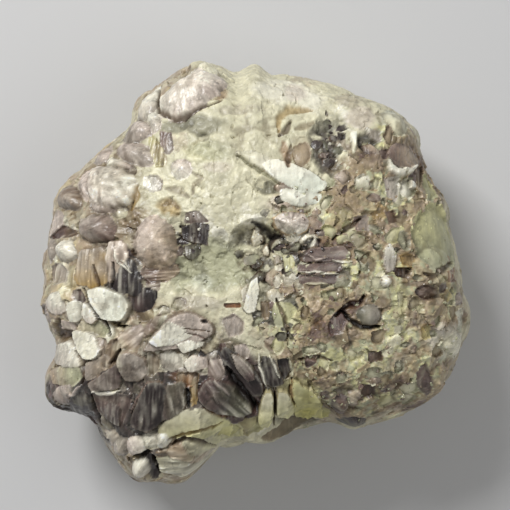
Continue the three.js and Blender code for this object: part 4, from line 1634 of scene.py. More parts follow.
# The middle and the top.
FACE_CRYSTALS = (
    Crystal("dark_cluster_top", "-15,10.5 -14.5,12.5 -12,13 -9.5,10.5 -12.5,10",
            Habit.BOOK, Hue.VIOLET, Hue.DOVE, 90, lift=0.9),
    Crystal("dark_cluster", "-15.5,9.5 -13,10.5 -9.5,10 -10,5.5 -15.5,7",
            Habit.BOOK, Hue.DUSK, Hue.INK, 195, lift=1.3),
    Crystal("dark_cluster_foot", "-15,5.5 -11.5,6 -11.5,4 -13,2.5 -14.5,3",
            Habit.BOOK, Hue.DUSK, Hue.SMOKE, 0, lift=0.9),
    Crystal("shell_flake", "3.5,11 5.5,12.5 9.5,12.5 11.5,11 11,9 9,7.5 6.5,8 4.5,9",
            Habit.FAN, Hue.LILAC, Hue.CHALK, 255, lift=1.8, side=Hue.OCHRE, skirt=1.2),
    Crystal("white_splint", "-2.5,-7.5 -1,-2 0.5,-1 1,-4 0,-8 -1.5,-8.5",
            Habit.SLAB, Hue.CHALK, Hue.PEARL, 0, lift=1.8),
    Crystal("glassy_splint", "-3,-4 -1.5,-2.5 -1.5,-5 -2.5,-6.5",
            Habit.SLAB, Hue.PEARL, Hue.DOVE, 0, lift=1.2),
    Crystal("red_chip", "-6.5,-6.5 -3,-6.5 -3,-7.5 -6.5,-7.5",
            Habit.BLOCK, Hue.MAROON, Hue.RUST, 0, lift=0.9),
    Crystal("green_facet", "3.5,-8.5 4,-6.5 7,-6 9,-8 7,-11 4.5,-11.5",
            Habit.BLOCK, Hue.SAGE, Hue.BUTTER, 60, lift=1.3),
    Crystal("green_chip", "6,3.5 8,3.5 8.5,1.5 6.5,0", Habit.BLOCK, Hue.SAGE, Hue.BUTTER, 0, lift=1.4),
    Crystal("tan_splint", "1,-6 3,-6 3,-10 1.5,-10",
            Habit.STRIPE, Hue.TAN, Hue.BEIGE, 0, fibre=90, lift=0.9),
    Crystal("lilac_patch", "-7,-10 -4.5,-8.5 -2,-10.5 -2.5,-13 -5.5,-14",
            Habit.SLAB, Hue.DOVE, Hue.LILAC, 60, lift=0.6),
    Crystal("blade_tip", "-4.5,25.5 -0.5,25.5 3.5,24 7.5,20.5 3,21 -2,23",
            Habit.BLADE, Hue.CREAM, Hue.CHALK, 0, lift=1.3),
    Crystal("blade_body", "1.5,23.5 7.5,23 12,21 15,18.5 12.5,16.5 8.5,16.5 4.5,19 1.5,21.5",
            Habit.BLADE, Hue.CHALK, Hue.MINT, 315, lift=1.7),
    Crystal("blade_foot", "5,17.5 14,16.5 13,14 9,13.5 5,15", Habit.BLADE, Hue.CHALK, Hue.MINT, 300),
    Crystal("top_tan_lobe", "7.5,26 11,27.5 12,25 11,22 8.5,22", Habit.LUMP, Hue.TAN, Hue.BEIGE, 0),
    Crystal("white_ridge", "20,29.5 21.5,29.5 21.5,25.5 20.5,24.5",
            Habit.LUMP, Hue.CREAM, Hue.CHALK, 90, lift=1.2),
    Crystal("grey_veil", "23,30 26,29 26.5,27 24.5,28", Habit.SLAB, Hue.PEARL, Hue.DOVE, 0, lift=1.1),
    Crystal("shoulder_book", "27.5,24.5 28,26 29.5,27 32,26.5 34,24.5 34.5,22.5 33,21 30,21.5 28.5,23",
            Habit.BOOK, Hue.MAUVE, Hue.BEIGE, 345, lift=1.8, slope=(0.2, -0.4), streaks=0.12),
    Crystal("shoulder_chip", "26,25.5 28,26 27.5,23.5 26.5,23.5",
            Habit.BOOK, Hue.MAUVE, Hue.VIOLET, 0, lift=1.0, streaks=0.15),
    Crystal("shoulder_tan", "26.5,30 28.5,31 29,28 28.5,26 27,27", Habit.LUMP, Hue.TAN, Hue.BEIGE, 90),
    Crystal("shoulder_cream", "25.5,32.5 31,35 33.5,32.5 31,28 28.5,28",
            Habit.LUMP, Hue.CREAM, Hue.MINT, 90, dome=1.4),
    Crystal("cream_knob", "20.5,18 21,20 23.5,20.5 24.5,17.5 22,16.5",
            Habit.LUMP, Hue.CREAM, Hue.CHALK, 90, dome=1.2, lift=1.0),
    Crystal("rosy_knob", "16.5,20 19,21.5 20.5,19.5 18.5,18", Habit.LUMP, Hue.LILAC, Hue.TAN, 0, dome=1.0),
    Crystal("glassy_facet", "27,19.5 30,20 30.5,17 29.5,14.5 27.5,15.5",
            Habit.SLAB, Hue.PEARL, Hue.LILAC, 195, lift=0.9),
    Crystal("green_glass", "30.5,19.5 33,20 34,16 32,14.5 30.5,16",
            Habit.LUMP, Hue.SAGE, Hue.PEARL, 195, dome=0.8),
    Crystal("glint_chip", "32.5,19 33.5,18.5 33.5,17.5 32.5,17.5",
            Habit.SLAB, Hue.CHALK, Hue.PEARL, 0, lift=1.8),
    Crystal("right_strip", "34,22 36,23 35,17 34,17.5",
            Habit.STRIPE, Hue.TAN, Hue.UMBER, 90, fibre=92, lift=0.9),
    Crystal("right_pale", "35.5,21 37.5,21.5 38.5,15.5 36,14.5",
            Habit.LUMP, Hue.SAGE, Hue.BUTTER, 90, dome=1.2),
)

# The granular right side.
CRUST_CRYSTALS = (
    Crystal("smooth_cap", "33,12 34.5,14 36.5,15 39.5,13.5 42,10.5 44,3.5 42.5,1 37.5,-0.5 34.5,1 33,4.5",
            Habit.SMOOTH, Hue.SAGE, Hue.BUTTER, 105),
    Crystal("violet_upper", "9.5,4 12,5 18.5,5.5 20,3.5 18.5,2.5 10,2",
            Habit.BOOK, Hue.VIOLET, Hue.MAUVE, 90, lift=1.7, fibre=3, slope=(0, -0.4)),
    Crystal("violet_middle", "9,1.5 18.5,2.5 18,0 9,0",
            Habit.BOOK, Hue.VIOLET, Hue.MAUVE, 90, lift=1.4, fibre=3, slope=(0, -0.4)),
    Crystal("violet_lower", "9,-0.5 17,-0.5 17,-2.5 9.5,-2.5",
            Habit.BOOK, Hue.MAUVE, Hue.VIOLET, 0, lift=1.1, fibre=3, slope=(0, -0.4)),
    Crystal("grey_splinter", "26.5,2 27,5 28,6 29.5,3.5 29,0.5 27.5,0",
            Habit.SLAB, Hue.DOVE, Hue.PEARL, 90, lift=1.8),
    Crystal("white_grain", "26,-2 27,-0.5 28.5,-1 28.5,-2.5 27,-3.5",
            Habit.BALL, Hue.CHALK, Hue.CHALK, 0, dome=1.0, lift=1.8),
    Crystal("gold_chip", "30,3.5 33,3.5 33,1 30.5,1.5", Habit.BLOCK, Hue.OCHRE, Hue.TAN, 0, lift=1.3),
    Crystal("red_hollow", "28.5,1 33,1 32,-1.5 29.5,-1", Habit.BOOK, Hue.MAROON, Hue.UMBER, 0, lift=0.4),
    Crystal("grey_lump", "20.5,-8.5 22.5,-6.5 25,-6.5 26.5,-8.5 26,-11 23.5,-12 21.5,-10.5",
            Habit.LUMP, Hue.SMOKE, Hue.DOVE, 0, dome=1.6, lift=1.3),
    Crystal("maroon_block", "15,-11 16.5,-8.5 19,-7.5 19.5,-10 18,-13 15.5,-13.5",
            Habit.BOOK, Hue.MAROON, Hue.VIOLET, 0, lift=0.9),
    Crystal("rim_scale_high", "42.5,-8.5 45.5,-7.5 45.5,-10.5 45.5,-13.5 43,-12.5",
            Habit.SLAB, Hue.PEARL, Hue.SAGE, 195, lift=1.0),
    Crystal("rim_scale_low", "38,-16 41.5,-12.5 45.5,-14 45,-16 44,-19",
            Habit.BALL, Hue.CHALK, Hue.CREAM, 195, dome=1.4, lift=1.2, streaks=0.2),
    Crystal("heel_violet", "33.5,-21 36,-19.5 37,-22 36.5,-25 35,-25.5 34,-23.5",
            Habit.BOOK, Hue.MAUVE, Hue.VIOLET, 270, lift=1.2, streaks=0.2),
    Crystal("heel_maroon", "35,-24.5 36,-24 36.5,-25 35.5,-26",
            Habit.BOOK, Hue.VIOLET, Hue.MAROON, 0, lift=1.4, streaks=0.1),
    Crystal("low_violet", "23.5,-17 26.5,-16.5 27,-18.5 24,-19",
            Habit.BOOK, Hue.VIOLET, Hue.UMBER, 0, lift=1.1, streaks=0.2),
    Crystal("low_brown", "22,-23.5 25,-23.5 25.5,-26 22,-26.5",
            Habit.BOOK, Hue.UMBER, Hue.VIOLET, 0, lift=1.0, streaks=0.2),
    Crystal("dark_lump", "15.5,-27.5 16,-25.5 19,-25.5 20,-27.5 19.5,-29.5 17,-30",
            Habit.BALL, Hue.VIOLET, Hue.UMBER, 300, dome=1.4, streaks=0.12),
    Crystal("foot_lump", "16.5,-31 20,-30 24,-31 23,-34 18.5,-33",
            Habit.BALL, Hue.SMOKE, Hue.DUSK, 90, dome=1.4),
    Crystal("rose_brown", "33,-4 35,-2.5 37.5,-3 39,-5.5 35,-6",
            Habit.BALL, Hue.MAUVE, Hue.UMBER, 0, dome=0.8, streaks=0.2),
    Crystal("butter_chip", "29.5,-4 31,-4 31.5,-7.5 30,-8",
            Habit.BLOCK, Hue.BUTTER, Hue.CREAM, 90, lift=1.1),
    Crystal("honey_chip", "34.5,-11.5 37,-11 37,-14 35,-14.5",
            Habit.BLOCK, Hue.OCHRE, Hue.BUTTER, 0, lift=1.1),
    Crystal("violet_patch", "20.5,11.5 23.5,12 24,8.5 21,8.5",
            Habit.BOOK, Hue.MAUVE, Hue.DOVE, 0, lift=0.9, streaks=0.15),
    Crystal("brown_patch", "27,12.5 29,13 30,10.5 28,10",
            Habit.BOOK, Hue.MAUVE, Hue.UMBER, 0, lift=0.9, streaks=0.15),
    Crystal("sage_patch", "15,-4 18.5,-3 19.5,-5.5 16,-6.5", Habit.LUMP, Hue.SAGE, Hue.TAN, 0),
    Crystal("sage_low", "9.5,-15.5 13,-15 14,-17 10,-17.5", Habit.LUMP, Hue.SAGE, Hue.CREAM, 0),
    Crystal("cream_row", "19.5,7.5 22,8.5 24,6 21.5,4.5", Habit.LUMP, Hue.CREAM, Hue.TAN, 0),
    Crystal("edge_violet", "42,-4.5 44,-4 45.5,-7 42.5,-7.5", Habit.BALL, Hue.DOVE, Hue.MAUVE, 0, dome=1.2),
    Crystal("edge_rust", "39.5,0.5 42.5,1 42.5,-2 40,-2.5",
            Habit.STRIPE, Hue.RUST, Hue.UMBER, 90, fibre=95),
)

# Cracks, veins and bright edges: width and rise in millimetres, and strength of the tint.
VEINS = (
    Vein("corner_crack",
            "-20,39.5 -20.5,36.5 -20.5,34 -19,33 -16.5,32 -14,33 -10.5,35 -7,36", Hue.UMBER, 0.5, -0.8, 0.75),
    Vein("pearl_crack", "-24.5,18 -25,15 -26,13", Hue.OCHRE, 0.6, -0.5, 0.7),
    Vein("olive_crack", "-13,21 -11.5,20 -11,19.5 -12.5,18.5 -13,16", Hue.UMBER, 0.6, -0.2, 0.5),
    Vein("gold_crack", "-19.5,14 -17.5,15 -16,13.5", Hue.UMBER, 0.8, -0.2, 0.6),
    Vein("dark_olive", "-18.5,17.5 -16,17 -14,15.5", Hue.UMBER, 0.8, -0.2, 0.5),
    Vein("slab_crack", "-36,-3.5 -34.5,-7 -32.5,-9.5 -31,-11.5 -30.5,-13.5", Hue.DUSK, 0.45, -1.0, 0.85),
    Vein("left_gap_low", "-42,-10.5 -42,-13.5 -39.5,-13.5 -38,-15.5", Hue.UMBER, 1.2, -1.4, 0.9),
    Vein("flake_crack", "-38,-17 -36.5,-18.5 -36,-21 -36.5,-23.5", Hue.UMBER, 0.5, -1.0, 0.85),
    Vein("tall_crack", "-30.5,-19.5 -29.5,-18.5 -28.5,-16.5", Hue.UMBER, 0.6, -0.9, 0.8),
    Vein("book_glint_a", "-28.5,2 -27,1 -26,0", Hue.CHALK, 0.22, 0.3, 0.9),
    Vein("book_glint_b", "-27.5,2.5 -26.5,1.5 -26,0.5", Hue.PEARL, 0.22, 0.3, 0.8),
    Vein("book_glint_d", "-29,5 -29,3.5 -28.5,2", Hue.CHALK, 0.25, 0.3, 0.8),
    Vein("book_line_a", "-29.5,2 -29.5,0 -30,-3", Hue.INK, 0.35, -0.7, 0.8),
    Vein("book_line_b", "-33.5,1.5 -33,-1 -32.5,-3", Hue.UMBER, 0.4, -0.7, 0.8),
    Vein("slab_line_a", "-14.5,-12.5 -12.5,-13 -10,-14", Hue.MAROON, 0.22, -0.3, 0.7),
    Vein("slab_line_b", "-15,-11.5 -12,-12 -9,-12.5", Hue.UMBER, 0.22, -0.3, 0.7),
    Vein("slab_hole", "-11,-10 -10,-10.5", Hue.INK, 0.45, -1.0, 1.0),
    Vein("sparkle_row", "-23,-13.5 -22,-11.5 -20,-9", Hue.MAUVE, 1.2, 0.4, 0.7),
    Vein("book_edge_a", "-40,-27 -38.5,-26 -37,-24", Hue.LILAC, 0.35, 0.5, 0.85),
    Vein("book_edge_b", "-34,-25 -32.5,-25.5 -30.5,-25.5 -28.5,-25", Hue.PEARL, 0.45, 0.5, 0.85),
    Vein("book_edge_c", "-22.5,-23 -24.5,-26.5 -26,-30", Hue.MAUVE, 0.3, 0.3, 0.8),
    Vein("book_crack_a", "-34.5,-26 -34,-28 -33.5,-31 -33,-33", Hue.INK, 0.5, -1.0, 0.9),
    Vein("wide_streak_a", "-8.5,-22.5 -7,-24 -5,-25.5", Hue.LILAC, 0.22, 0.2, 0.7),
    Vein("wide_streak_b", "-10,-23.5 -8.5,-25 -7.5,-27", Hue.DOVE, 0.22, 0.2, 0.7),
    Vein("wide_edge", "-11,-28.5 -7.5,-30 -4,-30.5", Hue.RUST, 0.4, -0.4, 0.7),
    Vein("crevice", "-6,-20 -4,-23 -1.5,-26.5 0.5,-29", Hue.INK, 1.0, -1.5, 0.9),
    Vein("book_gap", "-14.5,-24.5 -14,-26.5 -14,-28.5", Hue.INK, 0.6, -1.2, 0.9),
    Vein("rib_a", "0.5,-17 1,-19.5 1.5,-22 2.5,-24", Hue.PEARL, 0.35, 0.8, 0.9),
    Vein("rib_b", "3,-17.5 4,-19.5 5,-21.5", Hue.CHALK, 0.35, 0.8, 0.9),
    Vein("rib_c", "7,-17.5 7.5,-19.5 7.5,-21.5", Hue.CREAM, 0.3, 0.6, 0.8),
    Vein("block_crack_a", "4,-24 4,-27 4,-32.5", Hue.UMBER, 0.28, -0.8, 0.8),
    Vein("block_crack_b", "7.5,-21.5 7.5,-24.5 8,-27", Hue.RUST, 0.28, -0.8, 0.7),
    Vein("toe_crack_a", "-17.5,-36.5 -14.5,-35 -11.5,-36 -8.5,-37", Hue.UMBER, 0.6, -1.2, 0.85),
    Vein("toe_crack_b", "-26,-39.5 -24,-39 -22,-38", Hue.INK, 0.7, -1.2, 0.9),
    Vein("toe_crack_c", "-22,-39 -21,-41 -20.5,-43.5", Hue.INK, 0.6, -1.4, 0.9),
    Vein("yellow_crack", "-18,-35.5 -15,-34 -10,-33 -7,-31.5", Hue.OCHRE, 0.35, -0.9, 0.7),
    Vein("vee_crack", "17,-9 19.5,-7 22,-6.5 23,-5", Hue.MAROON, 0.7, -1.5, 0.9),
    Vein("vee_crack_low", "18.5,-8.5 20,-10 22.5,-11.5 26,-11.5", Hue.INK, 0.6, -1.4, 0.9),
    Vein("crescent", "28,23 28.5,21.5 30.5,20.5 32.5,21 33.5,22", Hue.CHALK, 0.8, 0.9, 0.95),
    Vein("white_line_a", "11,3.5 12.5,2.5 15,3", Hue.LILAC, 0.3, 0.5, 0.8),
    Vein("white_line_b", "16,2.5 18,2 20,2.5", Hue.CHALK, 0.3, 0.5, 0.8),
    Vein("white_line_c", "9.5,0 13.5,0 17.5,-0.5", Hue.CHALK, 0.25, 0.5, 0.85),
    Vein("white_line_d", "10.5,-2.5 12.5,-2.5 15,-2.5", Hue.CREAM, 0.3, 0.5, 0.8),
    Vein("crust_crack_a", "16.5,7 19,9 22,11", Hue.UMBER, 0.6, -1.0, 0.8),
    Vein("ochre_arc_a", "5,29.5 5,32 7,34 9.5,34 12,34", Hue.OCHRE, 0.9, -0.5, 0.6),
    Vein("ochre_arc_b", "5,28.5 6.5,29.5 7.5,31.5", Hue.UMBER, 0.7, -0.7, 0.7),
    Vein("ochre_arc_c", "8.5,30 10.5,30.5 12.5,31.5", Hue.TAN, 0.8, -0.4, 0.6),
    Vein("rust_streak", "6,27 6.5,24.5 7,22", Hue.RUST, 1.1, -0.3, 0.6),
    Vein("rust_dark", "7.5,26.5 7,24 7,22", Hue.UMBER, 0.6, -0.5, 0.7),
    Vein("shell_line_a", "4.5,11.5 5.5,9.5 7,8", Hue.DOVE, 0.2, -0.2, 0.6),
    Vein("blade_edge", "-4,24.5 -1,22.5 2.5,20.5 5,18", Hue.SAGE, 0.4, -0.7, 0.6),
    Vein("edge_crack", "35.5,-0.5 37.5,-1 40,0.5 42,2", Hue.UMBER, 0.8, -0.8, 0.7),
    Vein("basin_crack", "-0.5,10.5 1.5,9.5 3.5,7.5 6,7", Hue.INK, 0.8, -0.8, 0.8),
    Vein("basin_crack_b", "9.5,3.5 10.5,5.5 12,7", Hue.INK, 0.9, -1.0, 0.8),
    Vein("centre_crack", "4.5,-5.5 5.5,-8 7,-12 6.5,-15", Hue.UMBER, 0.5, -0.8, 0.7),
    Vein("crust_crack_d", "9,-18 13.5,-18 16,-18.5", Hue.UMBER, 0.5, -0.8, 0.7),
)

# Stains: colour, middle, radii, turn, strength, speckle, and rise in millimetres.
STAINS = (
    Stain(Hue.CHALK, (6.5, 37.5), (9.5, 3), -12, 0.7, 0, 0.2),
    Stain(Hue.LILAC, (8.5, 37.5), (2.5, 2), 0, 0.5, 0, 0),
    Stain(Hue.CREAM, (-4, 30.5), (8.5, 7), 0, 0.8, 0, 0),
    Stain(Hue.BUTTER, (-11.5, 25), (3.5, 2), 0, 0.35, 0, 0),
    Stain(Hue.SAGE, (-9, 25.5), (4, 2), 0, 0.5, 0, -0.3),
    Stain(Hue.RUST, (-8, 37.5), (3, 1.5), 0, 0.55, 0.1, -0.3),
    Stain(Hue.SMOKE, (-12, 31), (5.5, 2), -10, 0.6, 0, -0.3),
    Stain(Hue.SMOKE, (-16.5, 31), (3.5, 1.5), 10, 0.6, 0, -0.4),
    Stain(Hue.SMOKE, (-11, 28.5), (1.5, 1), 0, 0.5, 0.2, -0.4),
    Stain(Hue.DOVE, (-3, 34), (5.5, 1), 0, 0.4, 0.2, 0),
    Stain(Hue.LILAC, (22, 32.5), (3, 2.5), 0, 0.55, 0, 0),
    Stain(Hue.MAUVE, (20, 36.5), (3, 2), 0, 0.4, 0.1, 0),
    Stain(Hue.TAN, (9.5, 24), (2.5, 3.5), 0, 0.35, 0, 0),
    Stain(Hue.SAGE, (-8.5, 1.5), (10, 5.5), -8, 0.85, 0, -0.6),
    Stain(Hue.MINT, (-11, -2.5), (2.5, 2), 0, 0.4, 0, 0),
    Stain(Hue.SMOKE, (-13.5, 0), (4, 2), 0, 0.45, 0.2, -0.3),
    Stain(Hue.OCHRE, (-18, 13.5), (2.5, 2), 0, 0.6, 0.1, -0.3),
    Stain(Hue.TAN, (-27.5, 10), (2, 3.5), 0, 0.5, 0, -0.4),
    Stain(Hue.UMBER, (-25.5, 9.5), (1.5, 1.5), 0, 0.6, 0.2, -0.4),
    Stain(Hue.UMBER, (-26, 22), (0.5, 0.5), 0, 0.8, 0, -0.6),
    Stain(Hue.UMBER, (-34, 19.5), (1.5, 1), 0, 0.5, 0.2, -0.3),
    Stain(Hue.LILAC, (-8, 22), (3, 1), 0, 0.4, 0, 0),
    Stain(Hue.CREAM, (-5.5, 16), (5, 3), 0, 0.5, 0, 0),
    Stain(Hue.LILAC, (6, 14), (5, 1.5), 0, 0.45, 0, 0),
    # The dark sunk patches in the middle hollow (DUSK and SLATE) paint the hollow's shade over its dark mica.
    Stain(Hue.DUSK, (-0.5, 7.5), (4, 2.5), 0, 0.75, 0.2, -0.9),
    Stain(Hue.SMOKE, (-5, 7), (3.5, 2), 0, 0.5, 0.2, -0.4),
    Stain(Hue.DUSK, (7.5, 5.5), (6, 2.5), -8, 0.9, 0.1, -1.2),
    Stain(Hue.SLATE, (3, 1.5), (3, 4), 0, 0.85, 0.2, -0.9),
    Stain(Hue.MOSS, (3, -5), (2.5, 3.5), 0, 0.6, 0.3, -0.5),
    Stain(Hue.UMBER, (-1.5, 2), (2, 2), 0, 0.5, 0.3, -0.4),
    Stain(Hue.MOSS, (2.5, 18), (2.5, 1.5), -20, 0.7, 0.3, -0.7),
    Stain(Hue.DUSK, (15, 25), (3, 5.5), 12, 0.9, 0.1, -0.9),
    Stain(Hue.SMOKE, (16, 31), (3, 2), 0, 0.7, 0.3, -0.5),
    Stain(Hue.MAUVE, (19, 27), (2, 1.5), 0, 0.6, 0.2, -0.3),
    Stain(Hue.INK, (24, 27.5), (2, 2), 0, 0.85, 0.1, -0.9),
    Stain(Hue.MAUVE, (25.5, 23.5), (2.5, 2), 0, 0.45, 0.1, 0),
    Stain(Hue.SMOKE, (31, 29.5), (1.5, 1), 0, 0.6, 0.2, -0.5),
    Stain(Hue.SMOKE, (15, 18.5), (2, 1.5), 0, 0.55, 0.2, -0.3),
    Stain(Hue.TAN, (18.5, 22), (3.5, 2), 0, 0.55, 0.1, -0.2),
    Stain(Hue.OCHRE, (26, 12.5), (2.5, 2), 0, 0.45, 0.1, 0),
    Stain(Hue.BUTTER, (17.5, 11.5), (3, 2), 0, 0.4, 0, 0),
    Stain(Hue.TAN, (15.5, 8.5), (3.5, 2), 0, 0.4, 0, 0),
    Stain(Hue.DOVE, (-5.5, -12), (3, 3), 0, 0.5, 0.1, 0),
    Stain(Hue.DOVE, (-12.5, -6.5), (4.5, 1.5), 0, 0.5, 0, 0),
    Stain(Hue.BUTTER, (7.5, -10), (3.5, 3.5), 0, 0.5, 0, 0),
    Stain(Hue.UMBER, (-5, -16), (3, 1.5), 0, 0.5, 0.1, -0.4),
    Stain(Hue.RUST, (-15, -22), (3, 2), 0, 0.4, 0.1, 0),
    Stain(Hue.OCHRE, (31.5, 2), (2, 1.5), 0, 0.6, 0.1, 0),
    Stain(Hue.OCHRE, (35.5, -12.5), (2, 2), 0, 0.35, 0.1, 0),
    Stain(Hue.OCHRE, (40, -4), (1.5, 3), 0, 0.4, 0.1, 0),
    Stain(Hue.CHALK, (40, -14.5), (5, 4), 0, 0.6, 0, 0.2),
    Stain(Hue.BUTTER, (30, -6), (1.5, 4), 0, 0.5, 0, 0),
    Stain(Hue.UMBER, (17.5, -27), (4.5, 3), 0, 0.5, 0.2, -0.4),
    Stain(Hue.SMOKE, (18.5, -25), (2.5, 1.5), 0, 0.5, 0.2, -0.3),
    Stain(Hue.UMBER, (30, -24), (3.5, 1.5), 0, 0.45, 0.2, -0.3),
    Stain(Hue.TAN, (27, -21), (4, 2), 0, 0.5, 0.1, 0),
    Stain(Hue.BUTTER, (8.5, -26.5), (5.5, 4.5), 0, 0.6, 0, 0),
    Stain(Hue.MOSS, (8.5, -32), (4.5, 1), -10, 0.5, 0.1, -0.3),
    Stain(Hue.MAROON, (12.5, -23), (2, 1), 0, 0.5, 0.1, 0),
)

# ---------------------------------------------------------------------------------------------
# The grounds of the stone
# ---------------------------------------------------------------------------------------------

FELDSPAR_GROUND = Ground(
    (Hue.SAGE, Hue.PUTTY, Hue.CREAM, Hue.CREAM, Hue.CREAM, Hue.CHALK),
    ((Scales(3.2 * MM, 0.5 * MM, 0.5, 11), 0.3), (Scales(1.2 * MM, 0.22 * MM, 0.7, 31), 0.3)),
    base=0.9 * MM,
    gloss=0.3,
    grain=0.16 * MM,
    salt=1,
)

CRUST_GROUND = Ground(
    (Hue.UMBER, Hue.MAUVE, Hue.TAN, Hue.BEIGE, Hue.TAN, Hue.SAND, Hue.SAGE, Hue.BUTTER, Hue.CREAM),
    ((Scales(3.4 * MM, 0.9 * MM, 0.7, 211), 0.8), (Scales(1.4 * MM, 0.3 * MM, 0.8, 231), 0.4)),
    base=0.8 * MM,
    gloss=0.6,
    grain=0.16 * MM,
    salt=2,
    blotch=6 * MM,
    mottle=0.27,
)

BALL_GROUND = Ground(
    (Hue.UMBER, Hue.TAN, Hue.PUTTY, Hue.BEIGE, Hue.SAND, Hue.CREAM),
    ((Scales(4.0 * MM, 0.9 * MM, 0.5, 411), 0.4), (Scales(1.6 * MM, 0.35 * MM, 0.6, 431), 0.35)),
    base=0.5 * MM,
    gloss=0.7,
    grain=0.12 * MM,
    salt=3,
    blotch=7 * MM,
    mottle=0.16,
)

BOOK_GROUND = Ground(
    (Hue.INK, Hue.DUSK, Hue.SLATE, Hue.VIOLET, Hue.ASH),
    ((Scales(4.5 * MM, 1.0 * MM, 0.7, 611), 0.5), (Scales(1.8 * MM, 0.4 * MM, 0.6, 631), 0.4)),
    base=0.3 * MM,
    gloss=0.85,
    grain=0.1 * MM,
    salt=4,
    mottle=0.2,
)

RELIEF_GROUNDS = (
    (FELDSPAR_GROUND, ()),
    (CRUST_GROUND, (Zone((0.5, -0.2), (0.46, 0.5)), Zone((0.42, 0.22), (0.36, 0.22)),
                    Zone((0.62, 0.4), (0.22, 0.25)))),
    (BALL_GROUND, (Zone((-0.78, 0.15), (0.32, 0.5)), Zone((-0.42, 0.85), (0.2, 0.12)),
                   Zone((-0.8, -0.3), (0.3, 0.3)), Zone((-0.45, -0.3), (0.3, 0.16)),
                   Zone((-0.5, -0.86), (0.3, 0.2)))),
    (BOOK_GROUND, (Zone((-0.55, -0.6), (0.45, 0.2)), Zone((-0.1, -0.52), (0.24, 0.18)),
                   Zone((-0.58, 0.02), (0.12, 0.1)))),
)

LITTERS = (
    Litter(RELIEF_GROUNDS[2][1], 110, (1.0, 2.6), 0.8,
           ((Habit.BALL, Hue.DOVE, Hue.CREAM), (Habit.SLAB, Hue.PUTTY, Hue.CHALK),
            (Habit.STRIPE, Hue.BEIGE, Hue.CREAM), (Habit.SLAB, Hue.CREAM, Hue.PEARL),
            (Habit.BALL, Hue.BEIGE, Hue.PEARL), (Habit.STRIPE, Hue.UMBER, Hue.SAND)), 51),
    Litter(RELIEF_GROUNDS[3][1], 60, (1.2, 3.0), 0.7,
           ((Habit.BOOK, Hue.DUSK, Hue.SLATE), (Habit.BOOK, Hue.INK, Hue.VIOLET),
            (Habit.SLAB, Hue.ASH, Hue.DOVE), (Habit.BOOK, Hue.VIOLET, Hue.ASH)), 52),
    Litter(RELIEF_GROUNDS[1][1], 150, (0.8, 2.4), 1.0,
           ((Habit.BOOK, Hue.MAUVE, Hue.BEIGE), (Habit.LUMP, Hue.SAGE, Hue.CREAM),
            (Habit.LUMP, Hue.TAN, Hue.SAND), (Habit.BOOK, Hue.VIOLET, Hue.MAUVE),
            (Habit.BALL, Hue.ASH, Hue.SAGE), (Habit.LUMP, Hue.CREAM, Hue.BUTTER)), 53),
    Litter((Zone((0.34, 0.58), (0.07, 0.13)), Zone((-0.3, 0.17), (0.07, 0.1)),
            Zone((0.17, 0.13), (0.14, 0.09))), 70, (0.5, 1.6), 0.5,
           ((Habit.BOOK, Hue.DUSK, Hue.SLATE), (Habit.BOOK, Hue.INK, Hue.VIOLET),
            (Habit.LUMP, Hue.MOSS, Hue.SMOKE), (Habit.BOOK, Hue.DUSK, Hue.MAUVE)), 55),
    Litter((Zone((0.1, 0.0), (0.16, 0.3)),), 60, (0.7, 2.2), 0.8,
           ((Habit.BOOK, Hue.MOSS, Hue.SLATE), (Habit.LUMP, Hue.ASH, Hue.SAGE),
            (Habit.BOOK, Hue.DUSK, Hue.SMOKE), (Habit.SLAB, Hue.PUTTY, Hue.CHALK)), 54),
)


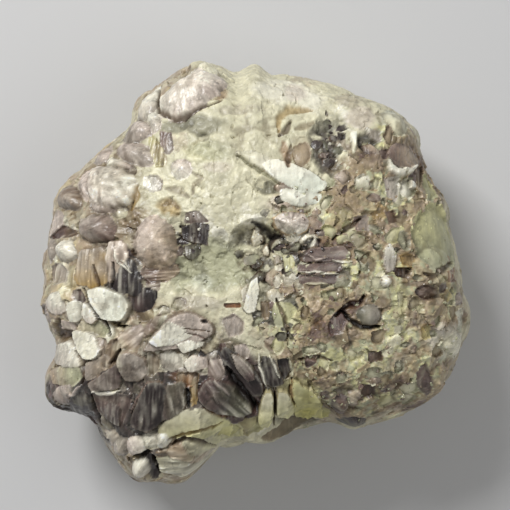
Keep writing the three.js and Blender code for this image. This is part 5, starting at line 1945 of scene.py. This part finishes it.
def studio(body: Body) -> None:
    """The floor, the lights, the sky and the camera, which looks straight down.

    Args:
        body: the body, whose widest section the camera is aimed over.
    """
    scene = bpy.context.scene
    scene.view_settings.view_transform = "Standard"
    mesh = bpy.data.meshes.new("floor")
    corners = [(x * FLOOR_REACH, y * FLOOR_REACH, 0) for x, y in ((-1, -1), (1, -1), (1, 1), (-1, 1))]
    mesh.from_pydata(corners, [], [(0, 1, 2, 3)])
    floor = bpy.data.objects.new("floor", mesh)
    scene.collection.objects.link(floor)
    pale = bpy.data.materials.new("floor")
    pale.use_nodes = True
    pale.node_tree.nodes["Principled BSDF"].inputs["Base Color"].default_value = (0.6, 0.6, 0.6, 1)
    pale.node_tree.nodes["Principled BSDF"].inputs["Roughness"].default_value = 0.8
    mesh.materials.append(pale)
    world = bpy.data.worlds.new("sky")
    world.use_nodes = True
    world.node_tree.nodes["Background"].inputs["Color"].default_value = (1, 1, 1, 1)
    world.node_tree.nodes["Background"].inputs["Strength"].default_value = 0.24
    scene.world = world
    middle = Vector((0, 0, body.girth))
    for name, place, size, power in (
        ("key", (-0.3, 0.42, 0.55), 0.25, 4.4),
        ("fill", (0.5, -0.1, 0.8), 0.6, 1.5),
    ):
        light = bpy.data.lights.new(name, "AREA")
        light.size, light.energy = size, power
        lamp = bpy.data.objects.new(name, light)
        lamp.location = place
        lamp.rotation_euler = (middle - Vector(place)).to_track_quat("-Z", "Y").to_euler()
        scene.collection.objects.link(lamp)
    camera = bpy.data.cameras.new("camera")
    eye = bpy.data.objects.new("camera", camera)
    camera.lens = camera.sensor_width * EYE_DISTANCE / VIEW_WIDTH
    eye.location = (0, EYE_SHIFT, body.girth + EYE_DISTANCE)
    scene.collection.objects.link(eye)
    scene.camera = eye


STEPS = 309

BEDS = (
    Bed("crust_flakes", (Zone((0.52, -0.2), (0.44, 0.5)), Zone((0.45, 0.22), (0.32, 0.26))), 1100,
        (0.15, 0.8),
        ((Hue.MAUVE, 1), (Hue.TAN, 4), (Hue.BEIGE, 4), (Hue.SAGE, 2), (Hue.CREAM, 1)),
        30, 0.5, 21, lift=-0.1, corners=6, shade=0.12, bright=0.15),
    Bed("dark_glints", (Zone((-0.28, 0.17), (0.06, 0.1)), Zone((0.34, 0.58), (0.06, 0.11)),
                        Zone((0.16, 0.12), (0.14, 0.06))), 260, (0.2, 0.6),
        ((Hue.INK, 3), (Hue.DUSK, 3), (Hue.SMOKE, 1), (Hue.PEARL, 1)), 45, 0.4, 23, lift=0.15,
        corners=5, bright=0.4),
)


def main() -> None:
    """Builds the stone from its body outwards, and dresses each piece."""
    logging.basicConfig(level=logging.INFO)
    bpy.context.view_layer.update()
    body = Body(*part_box(NODE))
    relief = Relief(
        body,
        RELIEF_GROUNDS,
        DARK_BOOKS + LEFT_CRYSTALS + TOE_CRYSTALS + YELLOW_BLOCKS + FACE_CRYSTALS + CRUST_CRYSTALS,
        VEINS,
        STAINS,
        LITTERS,
    )
    stone, flake = STONE.make(), FLAKE.make()
    names = ("book_quarter", "crust_quarter", "ball_quarter", "feldspar_quarter")
    shells = Face(relief, steps=STEPS).quarters(names)
    pieces = [(shell.make(name, CREASE), stone) for shell, name in zip(shells, names)]
    pieces.append((Core(relief).build().make("stone_core", CREASE), stone))
    for bed in BEDS:
        pieces.append((bed.build(relief), flake))
    for piece, material in pieces:
        piece.data.materials.append(material)
        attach(piece, "root")
        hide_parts(NODE)
    studio(body)


if __name__ == "__main__":
    main()
